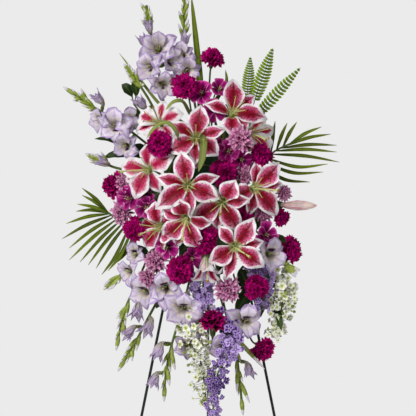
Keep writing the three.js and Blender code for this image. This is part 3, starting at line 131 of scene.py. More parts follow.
def straight_runs(points: Points, share: float) -> Array:
    """Return the place at a share of a route that runs straight between its points."""
    place = share * (len(points) - 1)
    k = min(int(place), len(points) - 2)
    return points[k] + (points[k + 1] - points[k]) * (place - k)


def rounded_corners(points: Points, bend: float, steps: int = 5) -> Array:
    """Return a route of straight runs whose corners are rounded over a length on either side."""
    route = [points[0]]
    for before, corner, after in zip(points, points[1:], points[2:]):
        start, end = (corner + unit(side - corner) * bend for side in (before, after))
        for share in np.linspace(0, 1, steps):
            route.append((1 - share) ** 2 * start + 2 * share * (1 - share) * corner + share**2 * end)
    return np.array([*route, points[-1]])


def nearest_on(points: Points, target: Array, steps: int = 40) -> Array:
    """Return the place on a route that lies nearest to a point."""
    places = [straight_runs(points, k / steps) for k in range(steps + 1)]
    return min(places, key=lambda place: float(np.linalg.norm(place - target)))


def profile(stops: Stops, count: int, fineness: int = 8, window: int = 9) -> Array:
    """Blend smoothly between stops of (place, value).

    Args:
        stops: Rising places from 0 to 1, each with its value.
        count: How many even places to return.
        fineness: How many steps each of them is worked out in.
        window: How many of those steps the blend spans.

    Returns:
        The value at each place.
    """
    places, values = zip(*stops)
    steps = np.linspace(0, 1, fineness * count)
    fine = np.interp(steps, places, values)
    kernel = np.hanning(window)[1:-1]
    soft = np.convolve(np.pad(fine, len(kernel) // 2, mode="edge"), kernel / kernel.sum(), mode="valid")
    soft[0], soft[-1] = fine[0], fine[-1]
    return np.interp(np.linspace(0, 1, count), steps, soft)


def strewn(*key: float) -> Draw:
    """Return a random source fixed by its key, so that every run draws the same."""
    return np.random.default_rng([int(abs(value) * 10) + 7 for value in key])


@dataclass
class FlowerFrame:
    """A flower's own axes: x and y lie in its face and z is the way it looks."""

    origin: Array
    look: Numbers
    nearly_up: float = 0.97

    def __post_init__(self) -> None:
        """Work out the axes from the way the flower looks."""
        self.z = unit(self.look)
        up = np.array([0.0, 1.0, 0.0]) if abs(self.z[2]) > self.nearly_up else UP
        self.x = unit(np.cross(up, self.z))
        self.y = np.cross(self.z, self.x)

    def point(self, x: float, y: float, z: float) -> Array:
        """Return a point given in the flower's own axes."""
        return self.origin + self.x * x + self.y * y + self.z * z

    def polar(self, angle: float, radius: float, height: float) -> Array:
        """Return a point at an angle in degrees, a radius out and a height along the axis."""
        turn = math.radians(angle)
        return self.point(radius * math.cos(turn), radius * math.sin(turn), height)

    def ray(self, angle: float, stations: Stops, size: float = 1.0) -> list[Array]:
        """Return the points at an angle for stations of (radius, height), in shares of a size."""
        return [self.polar(angle, out * size, up * size) for out, up in stations]

    def axis(self, heights: Sequence[float], size: float = 1.0) -> Array:
        """Return the points on the flower's axis at heights in shares of a size."""
        return np.array([self.point(0, 0, height * size) for height in heights])


def from_screen(red: int, green: int, blue: int) -> tuple[float, float, float, float]:
    """Turn a colour as a screen shows it, 0 to 255, into the linear colour that shaders use."""

    def linear(value: int) -> float:
        """Return one channel in linear light."""
        share = value / 255
        return share / 12.92 if share <= 0.04045 else ((share + 0.055) / 1.055) ** 2.4

    return (linear(red), linear(green), linear(blue), 1.0)


class Graph:
    """Adds shader nodes to a new material and links them."""

    def __init__(self, name: str) -> None:
        """Make the material and keep its surface shader.

        Args:
            name: The material's name.
        """
        self.material = bpy.data.materials.new(name)
        self.material.use_nodes = True
        self.tree = self.material.node_tree
        self.surface = self.tree.nodes["Principled BSDF"]

    def feed(self, socket: Socket, value: object) -> None:
        """Link another node's output to a socket, or set the socket's own value."""
        if isinstance(value, Socket):
            self.tree.links.new(value, socket)
        else:
            socket.default_value = value

    def add(
        self, kind: str, inputs: dict[str | int, object] | None = None, **settings: object
    ) -> bpy.types.Node:
        """Add a node, set its options and feed its inputs."""
        node = self.tree.nodes.new(kind)
        for key, value in settings.items():
            setattr(node, key, value)
        for key, value in (inputs or {}).items():
            self.feed(node.inputs[key], value)
        return node

    def math(self, operation: str, *values: object) -> Socket:
        """Return the result of a Math node."""
        return self.add("ShaderNodeMath", dict(enumerate(values)), operation=operation).outputs[0]

    def product(self, *values: object) -> Socket:
        """Return the product of two or more values."""
        return reduce(lambda one, other: self.math("MULTIPLY", one, other), values)

    def total(self, *values: object) -> Socket:
        """Return the sum of two or more values."""
        return reduce(lambda one, other: self.math("ADD", one, other), values)

    def soft_step(self, value: object, low: float, high: float) -> Socket:
        """Return 0 below low and 1 above high, eased between; low may be above high."""
        inputs = {"Value": value, "From Min": low, "From Max": high}
        return self.add("ShaderNodeMapRange", inputs, interpolation_type="SMOOTHSTEP").outputs["Result"]

    def window(self, value: object, rise: Pair, fall: Pair) -> Socket:
        """Return 1 between two soft steps of a value and 0 outside them."""
        return self.product(self.soft_step(value, *rise), self.soft_step(value, *fall))

    def mix(self, share: object, first: object, second: object) -> Socket:
        """Return the colour between two, at a share."""
        node = self.add("ShaderNodeMix", {0: share, 6: first, 7: second}, data_type="RGBA")
        return node.outputs[2]

    def ramp(self, share: object, stops: Sequence[tuple[float, Colour]]) -> Socket:
        """Return a colour from a ramp of stops."""
        node = self.add("ShaderNodeValToRGB", {"Fac": share})
        elements = node.color_ramp.elements
        while len(elements) < len(stops):
            elements.new(0.5)
        for element, (place, colour) in zip(elements, stops):
            element.position = place
            element.color = from_screen(*colour)
        return node.outputs["Color"]

    def noise(self, scale: float, detail: float = 3.0) -> Socket:
        """Return noise on the piece's own coordinates, scale counted in features per metre."""
        coordinates = self.add("ShaderNodeTexCoord").outputs["Object"]
        inputs = {"Vector": coordinates, "Scale": scale, "Detail": detail}
        return self.add("ShaderNodeTexNoise", inputs).outputs["Fac"]

    def attribute(self, name: str) -> Socket:
        """Return one of the values that a piece keeps at its points."""
        return self.add("ShaderNodeAttribute", attribute_name=name).outputs["Fac"]

    def raise_surface(self, height: object, depth: float) -> None:
        """Bump the surface by a height map, its full range being a depth in metres."""
        bump = self.add("ShaderNodeBump", {"Height": height, "Distance": depth, "Strength": 1.0})
        self.feed(self.surface.inputs["Normal"], bump.outputs["Normal"])

    def finish(self, colour: object, roughness: float, **sockets: float) -> bpy.types.Material:
        """Set the shader's colour and plain values, and return the material."""
        self.feed(self.surface.inputs["Base Color"], colour)
        self.surface.inputs["Roughness"].default_value = roughness
        for key, value in sockets.items():
            self.surface.inputs[key.replace("_", " ")].default_value = value
        return self.material


@dataclass(frozen=True)
class PetalFinish:
    """A petal or leaf skin that follows the sheet: u runs across it and v from root to tip.

    Its colours run from the throat to the tip and to a rim. A flank fades in toward the sides, a midrib runs
    along the middle, a mark sits on the petals that carry one, and spots fill the middle.
    """

    name: str
    throat: Colour
    inner: Colour
    outer: Colour
    tip: Colour
    rim: Colour
    rim_from: float = 1.0
    rim_to: float = 1.2
    throat_end: float = 0.12
    flank: Colour | None = None
    midrib: Colour | None = None
    mark: Colour | None = None
    spots: Colour | None = None
    veins: float = 9.0
    vein_depth: float = 0.00025
    mottle: float = 0.35
    shade: float = 0.35
    roughness: float = 0.5
    gloss: float = 0.2
    glow: float = 0.0
    depth: float = 1.12

    broad_noise: float = 55.0
    fine_noise: float = 420.0
    outer_from: float = 0.62
    tip_from: float = 0.97
    pale_tip: Pair = (0.6, 0.96)
    midrib_half: Pair = (0.2, 0.02)
    midrib_ends: tuple[Pair, Pair] = ((0.97, 0.72), (0.1, 0.34))
    mark_ends: tuple[Pair, Pair] = ((0.36, 0.42), (0.56, 0.48))
    mark_half: Pair = (0.95, 0.6)
    spot_cells: tuple[float, float] = (11.0, 24.0)
    spot_size: Pair = (0.4, 0.26)
    spot_ends: tuple[Pair, Pair] = ((0.16, 0.3), (0.92, 0.74))
    spot_half: Pair = (0.86, 0.66)
    glow_reach: float = 0.003

    def build(self) -> bpy.types.Material:
        """Make the material once, and return it."""
        known = bpy.data.materials.get(self.name)
        return known or self._make()

    def _make(self) -> bpy.types.Material:
        """Lay the colours out along and across the sheet."""
        g = Graph(self.name)
        sheet = g.add("ShaderNodeUVMap", uv_map="Sheet").outputs["UV"]
        place = g.add("ShaderNodeSeparateXYZ", {"Vector": sheet})
        u, v = place.outputs["X"], place.outputs["Y"]
        tint = g.attribute("tint")
        across = g.math("ABSOLUTE", g.math("MULTIPLY_ADD", u, 2.0, -1.0))
        broad, fine = g.noise(self.broad_noise), g.noise(self.fine_noise, 2.0)
        wander = g.math("MULTIPLY_ADD", broad, self.mottle, -self.mottle / 2)
        end = self.throat_end
        stops = [(end * 0.5, self.throat), (end * 1.6, self.inner)]
        stops += [(self.outer_from, self.outer), (self.tip_from, self.tip)]
        colour = g.ramp(g.total(v, wander), stops)
        streak = g.math("SINE", g.math("MULTIPLY_ADD", across, self.veins * TURN, g.product(broad, 5.0)))
        vein = g.math("MULTIPLY_ADD", streak, 0.5, 0.5)
        edge = g.total(across, g.product(wander, 1.2), g.math("MULTIPLY_ADD", fine, 0.5, -0.25))
        if self.flank:
            edge = g.math("MULTIPLY_ADD", g.soft_step(v, *self.pale_tip), 0.8, edge)
            reach = g.math("MULTIPLY_ADD", tint, 0.5, g.math("SUBTRACT", edge, 0.25))
            fade = g.soft_step(reach, 0.18, self.rim_from + 0.08)
            fade = g.product(fade, 0.94, g.soft_step(v, end, end + 0.2))
            colour = g.mix(fade, colour, from_screen(*self.flank))
        if self.midrib:
            line = g.soft_step(g.total(across, g.product(wander, 0.2)), *self.midrib_half)
            line = g.product(line, g.window(v, *self.midrib_ends), 0.85)
            colour = g.mix(line, colour, from_screen(*self.midrib))
        if self.mark:
            heart = g.soft_step(g.total(across, wander), *self.mark_half)
            heart = g.product(g.window(v, *self.mark_ends), heart, g.attribute("mark"))
            colour = g.mix(heart, colour, from_screen(*self.mark))
        if self.spots:
            columns, rows = self.spot_cells
            grid = g.add("ShaderNodeCombineXYZ", {"X": g.product(u, columns), "Y": g.product(v, rows)})
            cells = g.add("ShaderNodeTexVoronoi", {"Vector": grid.outputs["Vector"], "Scale": 1.0})
            dots = g.soft_step(cells.outputs["Distance"], *self.spot_size)
            dots = g.product(dots, g.window(v, *self.spot_ends), g.soft_step(across, *self.spot_half))
            colour = g.mix(dots, colour, from_screen(*self.spots))
        colour = g.mix(g.soft_step(edge, self.rim_from, self.rim_to), colour, from_screen(*self.rim))
        light = g.total(g.math("MULTIPLY_ADD", tint, self.shade, 1 - self.shade / 2), g.product(fine, 0.1))
        light = g.math("SUBTRACT", light, g.product(vein, 0.1))
        inputs = {"Saturation": self.depth, "Value": light, "Color": colour}
        colour = g.add("ShaderNodeHueSaturation", inputs).outputs["Color"]
        g.raise_surface(g.total(vein, g.product(fine, 0.6)), self.vein_depth)
        glow = {"Subsurface_Weight": self.glow, "Subsurface_Scale": self.glow_reach} if self.glow else {}
        return g.finish(colour, self.roughness, Specular_IOR_Level=self.gloss, **glow)


@dataclass(frozen=True)
class SkinFinish:
    """A skin with no sheet pattern: two colours mixed by noise, with a fine bump."""

    name: str
    first: Colour
    second: Colour
    scale: float = 70.0
    bump_scale: float = 500.0
    bump: float = 0.0002
    roughness: float = 0.5
    metallic: float = 0.0
    detail: float = 4.0
    blend: Pair = (0.32, 0.68)

    def build(self) -> bpy.types.Material:
        """Make the material once, and return it."""
        known = bpy.data.materials.get(self.name)
        if known:
            return known
        g = Graph(self.name)
        share = g.soft_step(g.noise(self.scale, self.detail), *self.blend)
        colour = g.mix(share, from_screen(*self.first), from_screen(*self.second))
        g.raise_surface(g.noise(self.bump_scale, self.detail), self.bump)
        return g.finish(colour, self.roughness, Metallic=self.metallic)


Finish = PetalFinish | SkinFinish

LILY_FACE = PetalFinish(
    "lily_petal_face", (214, 220, 156), (150, 4, 38), (156, 14, 48), (238, 190, 206), (248, 241, 243),
    rim_from=0.68, rim_to=0.92, throat_end=0.17, flank=(218, 112, 154), midrib=(112, 0, 24),
    spots=(76, 0, 18), mottle=0.22, shade=0.55, roughness=0.42, gloss=0.18, glow=0.05, depth=1.03,
)
LILY_PINK = PetalFinish(
    "lily_petal_pink", (222, 226, 176), (188, 44, 86), (192, 48, 90), (228, 170, 188), (244, 238, 240),
    rim_from=0.56, rim_to=0.84, throat_end=0.18, flank=(228, 150, 178), midrib=(156, 12, 54),
    spots=(146, 14, 56), mottle=0.26, shade=0.3, roughness=0.42, gloss=0.18, glow=0.05, depth=1.03,
)
LILY_PALE = PetalFinish(
    "lily_petal_pale", (224, 228, 182), (188, 44, 84), (196, 56, 96), (234, 196, 206), (244, 240, 241),
    rim_from=0.3, rim_to=0.66, throat_end=0.2, flank=(230, 160, 184), midrib=(156, 14, 56),
    spots=(146, 14, 56), mottle=0.26, shade=0.25, roughness=0.42, gloss=0.18, glow=0.05, depth=1.03,
)
LILY_BACK = PetalFinish(
    "lily_petal_back", (176, 190, 124), (226, 196, 198), (234, 208, 210), (232, 224, 216),
    (244, 240, 238), rim_from=0.6, rim_to=1.0, throat_end=0.2, midrib=(166, 178, 120), mottle=0.2,
    roughness=0.5, gloss=0.15, glow=0.05,
)
LILY_BUD = SkinFinish("lily_bud", (232, 208, 198), (206, 142, 150), scale=35.0)
# The near-black throat and the dark inner colour, over the wide throat band, are painted shade deep between
# the petals.
CARNATION_FACE = PetalFinish(
    "carnation_petal", (22, 0, 6), (58, 0, 18), (130, 0, 66), (174, 0, 108), (200, 8, 132),
    rim_from=0.88, rim_to=1.1, throat_end=0.28, mottle=0.4, shade=1.3, roughness=0.7, gloss=0.08,
    veins=7.0,
)
CHRYSANTHEMUM_RAY = PetalFinish(
    "chrysanthemum_ray", (78, 2, 34), (132, 26, 78), (176, 80, 132), (226, 172, 204), (202, 130, 174),
    rim_from=0.7, rim_to=1.1, throat_end=0.36, mottle=0.3, shade=0.9, roughness=0.7, gloss=0.12,
    veins=3.0, depth=1.0,
)
CHRYSANTHEMUM_EYE = SkinFinish("chrysanthemum_eye", (92, 10, 52), (138, 50, 96), scale=500.0, roughness=0.8)
ALSTROEMERIA_FACE = PetalFinish(
    "alstroemeria_petal", (74, 10, 42), (112, 16, 76), (156, 44, 114), (198, 100, 158), (208, 120, 170),
    rim_from=0.66, rim_to=1.0, throat_end=0.2, midrib=(84, 6, 52), mottle=0.4, shade=1.0, roughness=0.6,
    gloss=0.14,
)
# The dark brown throat colour at the base of every petal is painted shade deep in the funnel; the purple
# mark is the flower's own blotch.
GLADIOLUS_FACE = PetalFinish(
    "gladiolus_petal", (84, 62, 56), (230, 222, 202), (204, 192, 208), (212, 200, 216), (182, 162, 200),
    rim_from=0.9, rim_to=1.12, throat_end=0.36, flank=(216, 206, 218), midrib=(186, 170, 198),
    mark=(58, 20, 72), mottle=0.35, shade=0.55, roughness=0.55, gloss=0.15, glow=0.08,
)
GLADIOLUS_BACK = PetalFinish(
    "gladiolus_petal_back", (160, 166, 104), (196, 184, 182), (190, 174, 196), (188, 172, 200),
    (160, 140, 186), rim_from=0.8, rim_to=1.05, throat_end=0.3, midrib=(140, 126, 170), mottle=0.25,
    shade=0.4, roughness=0.6, gloss=0.15, glow=0.05,
)
SHEATH = PetalFinish(
    "gladiolus_sheath", (92, 122, 34), (110, 138, 40), (128, 152, 50), (158, 172, 92), (150, 166, 78),
    rim_from=0.8, rim_to=1.1, midrib=(88, 116, 34), mottle=0.3, shade=0.5, roughness=0.55, veins=6.0,
)
LARKSPUR_PETAL = PetalFinish(
    "larkspur_petal", (196, 186, 206), (76, 28, 128), (94, 46, 148), (132, 94, 178), (172, 148, 202),
    rim_from=0.75, rim_to=1.1, throat_end=0.14, flank=(190, 170, 208), mottle=0.5, shade=0.65,
    roughness=0.7, gloss=0.12, veins=4.0,
)
LACE_PETAL = PetalFinish(
    "lace_petal", (168, 184, 84), (222, 226, 184), (232, 232, 214), (234, 230, 230), (236, 232, 238),
    rim_from=0.8, rim_to=1.1, throat_end=0.3, mottle=0.3, shade=0.5, roughness=0.7, veins=3.0,
)
PALM_LEAFLET = PetalFinish(
    "palm_leaflet", (58, 76, 10), (70, 88, 12), (86, 102, 18), (114, 130, 36), (106, 122, 30),
    rim_from=0.8, rim_to=1.1, midrib=(124, 142, 50), mottle=0.4, shade=0.9, roughness=0.5, gloss=0.3,
    veins=6.0,
)
FERN_LEAFLET = PetalFinish(
    "fern_leaflet", (56, 78, 4), (78, 104, 6), (100, 128, 8), (128, 152, 20), (116, 142, 16),
    rim_from=0.8, rim_to=1.1, midrib=(120, 158, 36), mottle=0.3, shade=0.7, roughness=0.6, veins=3.0,
)
# The leaves' own dark glossy green, made near-black so that the leaves also serve as painted shade in the
# gaps behind the flowers.
DARK_LEAF_AND_PAINTED_SHADE = PetalFinish(
    "dark_leaf_and_painted_shade", (24, 36, 8), (24, 40, 8), (30, 50, 12), (46, 68, 20), (42, 64, 18), rim_from=0.85,
    rim_to=1.1, midrib=(72, 92, 30), mottle=0.4, shade=0.9, roughness=0.42, gloss=0.3, veins=5.0,
)
GRASS_BLADE = PetalFinish(
    "grass_blade", (98, 112, 24), (114, 128, 30), (130, 144, 40), (146, 160, 62), (92, 106, 26),
    rim_from=0.7, rim_to=1.05, midrib=(156, 168, 76), mottle=0.3, shade=0.5, roughness=0.5, veins=8.0,
    depth=0.85,
)
TALL_BLADE = PetalFinish(
    "tall_blade", (56, 70, 14), (72, 88, 20), (92, 108, 32), (118, 132, 54), (48, 62, 14), rim_from=0.5,
    rim_to=0.95, midrib=(112, 128, 50), mottle=0.3, shade=0.5, roughness=0.5, veins=8.0,
)
STEM = SkinFinish("green_stem", (60, 82, 18), (96, 118, 36), scale=60.0)
BUD_GREEN = SkinFinish("bud_green", (116, 136, 34), (158, 170, 76), scale=90.0)
BUD_TIP = SkinFinish("bud_tip", (206, 200, 190), (214, 206, 222), scale=90.0, roughness=0.55)
FILAMENT = SkinFinish("filament", (190, 202, 116), (218, 220, 156), scale=120.0, roughness=0.45)
STIGMA = SkinFinish("stigma", (170, 96, 26), (140, 132, 46), scale=300.0)
WIRE = SkinFinish(
    "easel_enamel", (20, 30, 24), (28, 40, 32), scale=40.0, bump_scale=260.0, bump=0.00006,
    roughness=0.32, metallic=0.3,
)
TRAY_PLASTIC = SkinFinish("tray_plastic", (36, 62, 38), (44, 72, 46), scale=14.0, bump_scale=900.0)
FOAM = SkinFinish(
    "wet_foam", (20, 56, 34), (32, 76, 46), scale=240.0, bump_scale=1300.0, bump=0.0012, roughness=0.95
)


def deselect_all() -> None:
    """Leave nothing selected, so that an operator acts on new pieces alone."""
    for item in bpy.context.selected_objects:
        item.select_set(False)


def select_only(*items: Item) -> None:
    """Select these objects alone and make the first one active."""
    deselect_all()
    for item in items:
        item.select_set(True)
    bpy.context.view_layer.objects.active = items[0]


def apply_all(item: Item) -> None:
    """Apply every modifier of an object, in order."""
    select_only(item)
    for modifier in list(item.modifiers):
        bpy.ops.object.modifier_apply(modifier=modifier.name)


@lru_cache(maxsize=None)
def flat_master(rows: int, columns: int) -> tuple[tuple[int, ...], ...]:
    """Model a flat sheet once as a grid, for every petal or leaf of that fineness to be bent from.

    Args:
        rows: Points from root to tip.
        columns: Points across.

    Returns:
        The sheet's faces, their front toward the viewer once bent.
    """
    deselect_all()
    bpy.ops.mesh.primitive_grid_add(x_subdivisions=columns - 1, y_subdivisions=rows - 1, size=2.0)
    sheet = bpy.context.object
    faces = tuple(tuple(reversed(tuple(face.vertices))) for face in sheet.data.polygons)
    if len(sheet.data.vertices) != rows * columns:
        raise ValueError("the grid master has another number of points")
    bpy.ops.object.delete()
    return faces


@dataclass(frozen=True)
class SheetForm:
    """The outline and the fineness of one kind of petal or leaf."""

    outline: Stops
    rows: int
    columns: int

    def bend(self, points: Points, half_width: float, face: Numbers, lift: Lift) -> Array:
        """Bend a flat sheet along a smooth curve.

        Args:
            points: The places that its midline passes.
            half_width: Half its width where the outline is one.
            face: The way its front looks.
            lift: How far it stands off the midline's plane, from the place across (-1 to 1), the place along
                (0 to 1) and half the width there.

        Returns:
            Its points as rows by columns by 3.
        """
        curve = smooth_curve(points, self.rows)
        half = half_width * profile(self.outline, self.rows)[:, None]
        along = unit(np.gradient(curve, axis=0))
        normal = unit(face - np.sum(face * along, axis=1, keepdims=True) * along)
        u = np.linspace(-1, 1, self.columns)[None, :]
        t = np.linspace(0, 1, self.rows)[:, None]
        grid = curve[:, None, :] + np.cross(normal, along)[:, None, :] * (half * u)[:, :, None]
        height = np.broadcast_to(lift(u, t, half), (self.rows, self.columns))
        return grid + normal[:, None, :] * height[:, :, None]


@dataclass
class Growth:
    """Gathers the sheets and tubes of one finished piece and makes its object."""

    name: str
    grids: list[tuple[Array, Finish, Finish, float, float]] = field(default_factory=list)
    tubes: list[tuple[Array, Array, Finish]] = field(default_factory=list)
    thickness: float = 0.7
    tube_roundness: int = 2
    weld: float = 1e-5
    smooth_to: float = 50
    stem_steps: int = 7
    in_foam: float = 0.4
    thinner: float = 0.6

    def sheet(
        self, grid: Array, front: Finish, tint: float, back: Finish | None = None, mark: float = 0.0
    ) -> None:
        """Add a petal or leaf, given as rows by columns of points in millimetres."""
        self.grids.append((grid, front, back or front, tint, mark))

    def blade(
        self, form: SheetForm, points: Points, half_width: float, face: Numbers, lift: Lift,
        front: Finish, tint: float, back: Finish | None = None, mark: float = 0.0,
    ) -> None:
        """Add a petal or leaf that is bent from its flat form along a midline."""
        self.sheet(form.bend(points, half_width, face, lift), front, tint, back, mark)

    def tube(self, curve: Array, radii: Numbers | float, finish: Finish) -> None:
        """Add a round stalk, filament or bud along a curve, with a radius for each point."""
        self.tubes.append((curve, np.broadcast_to(np.asarray(radii, float), (len(curve),)), finish))

    def thread(self, points: Points, radii: Numbers, finish: Finish) -> None:
        """Add a tube along a smooth curve through points, with as many steps as there are radii."""
        self.tube(smooth_curve(points, len(radii)), radii, finish)

    def bead(self, axes: FlowerFrame, stops: Stops, size: float, finish: Finish) -> None:
        """Add a round body on a flower's axis, from stops of (height, radius) in shares of a size."""
        heights, radii = zip(*stops)
        self.tube(axes.axis(heights, size), np.array(radii) * size, finish)

    def stem(self, points: Points, radius: float, from_foam: bool = False) -> None:
        """Add a stem through points, straight where it leaves the foam."""
        route = list(points)
        if from_foam:
            route.insert(1, route[0] + (route[1] - route[0]) * self.in_foam)
        self.tube(smooth_curve(route, self.stem_steps * (len(route) - 1) + 1), radius, STEM)

    def branch(self, forked: Fork, way: Points, radius: float, first: bool = False) -> None:
        """Add a branch, thinner than the stem, or as the first one the stem itself from its seat on."""
        seat, fork = forked
        if first:
            self.stem([seat, fork, *way], radius, from_foam=True)
        else:
            self.stem([fork, *way], radius - self.thinner)

    def _sheets(self) -> Item | None:
        """Make the sheets as one object, thickened into closed skins."""
        if not self.grids:
            return None
        slots: list[Finish] = []
        points, faces, texture, tints, marks, indices = [], [], [], [], [], []
        start = 0
        for grid, front, back, tint, mark in self.grids:
            pair = [front, back]
            index = next((k for k in range(0, len(slots), 2) if slots[k : k + 2] == pair), len(slots))
            if index == len(slots):
                slots.extend(pair)
            rows, columns = grid.shape[:2]
            count = rows * columns
            master = np.asarray(flat_master(rows, columns)) + start
            v, u = np.meshgrid(np.linspace(0, 1, rows), np.linspace(0, 1, columns), indexing="ij")
            points.append(grid.reshape(-1, 3))
            faces.append(master)
            texture.append(np.stack([u.ravel(), v.ravel()], axis=1))
            tints.append(np.full(count, tint))
            marks.append(np.full(count, mark))
            indices.append(np.full(len(master), index))
            start += count
        mesh = bpy.data.meshes.new(self.name)
        places = (np.concatenate(points) + FRAME_SHIFT) * MM
        mesh.from_pydata(places.tolist(), [], np.concatenate(faces).tolist())
        mesh.polygons.foreach_set("material_index", np.concatenate(indices).astype(np.int32))
        corners = np.zeros(len(mesh.loops), np.int32)
        mesh.loops.foreach_get("vertex_index", corners)
        mesh.uv_layers.new(name="Sheet").data.foreach_set("uv", np.concatenate(texture)[corners].ravel())
        for key, values in (("tint", tints), ("mark", marks)):
            mesh.attributes.new(key, "FLOAT", "POINT").data.foreach_set("value", np.concatenate(values))
        for finish in slots:
            mesh.materials.append(finish.build())
        item = bpy.data.objects.new(self.name, mesh)
        bpy.context.scene.collection.objects.link(item)
        skin = item.modifiers.new("thickness", "SOLIDIFY")
        skin.thickness = self.thickness * MM
        skin.offset = -1.0
        skin.material_offset = 1
        apply_all(item)
        return item

    def _tubes(self) -> Item | None:
        """Make the tubes as curves with a round section, and turn them into a mesh."""
        if not self.tubes:
            return None
        data = bpy.data.curves.new(self.name + "_tubes", "CURVE")
        data.dimensions = "3D"
        data.bevel_depth = MM
        data.bevel_resolution = self.tube_roundness
        data.use_fill_caps = True
        slots: list[Finish] = []
        for curve, radii, finish in self.tubes:
            if finish not in slots:
                slots.append(finish)
                data.materials.append(finish.build())
            spline = data.splines.new("POLY")
            spline.points.add(len(curve) - 1)
            places = np.column_stack([(curve + FRAME_SHIFT) * MM, np.ones(len(curve))])
            spline.points.foreach_set("co", places.ravel())
            spline.points.foreach_set("radius", radii.copy())
            spline.material_index = slots.index(finish)
        item = bpy.data.objects.new(self.name + "_tubes", data)
        bpy.context.scene.collection.objects.link(item)
        select_only(item)
        bpy.ops.object.convert(target="MESH")
        item = bpy.context.object
        bpy.ops.object.mode_set(mode="EDIT")
        bpy.ops.mesh.select_all(action="SELECT")
        bpy.ops.mesh.remove_doubles(threshold=self.weld)
        bpy.ops.mesh.normals_make_consistent(inside=False)
        bpy.ops.object.mode_set(mode="OBJECT")
        return item

    def make(self, body: str, slot: str, *nodes: str) -> None:
        """Make the finished piece in place of its nodes.

        Args:
            body: The body it rides on.
            slot: The record's material slot; not used.
            nodes: The nodes that it stands for.
        """
        parts = [part for part in (self._sheets(), self._tubes()) if part]
        select_only(*parts)
        if len(parts) > 1:
            bpy.ops.object.join()
        piece = bpy.context.object
        piece.name = self.name
        piece.data.name = self.name
        bpy.ops.object.shade_smooth_by_angle(angle=math.radians(self.smooth_to))
        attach(piece, body)
        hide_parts(*nodes)
        LOG.info("%s: %d faces", self.name, len(piece.data.polygons))


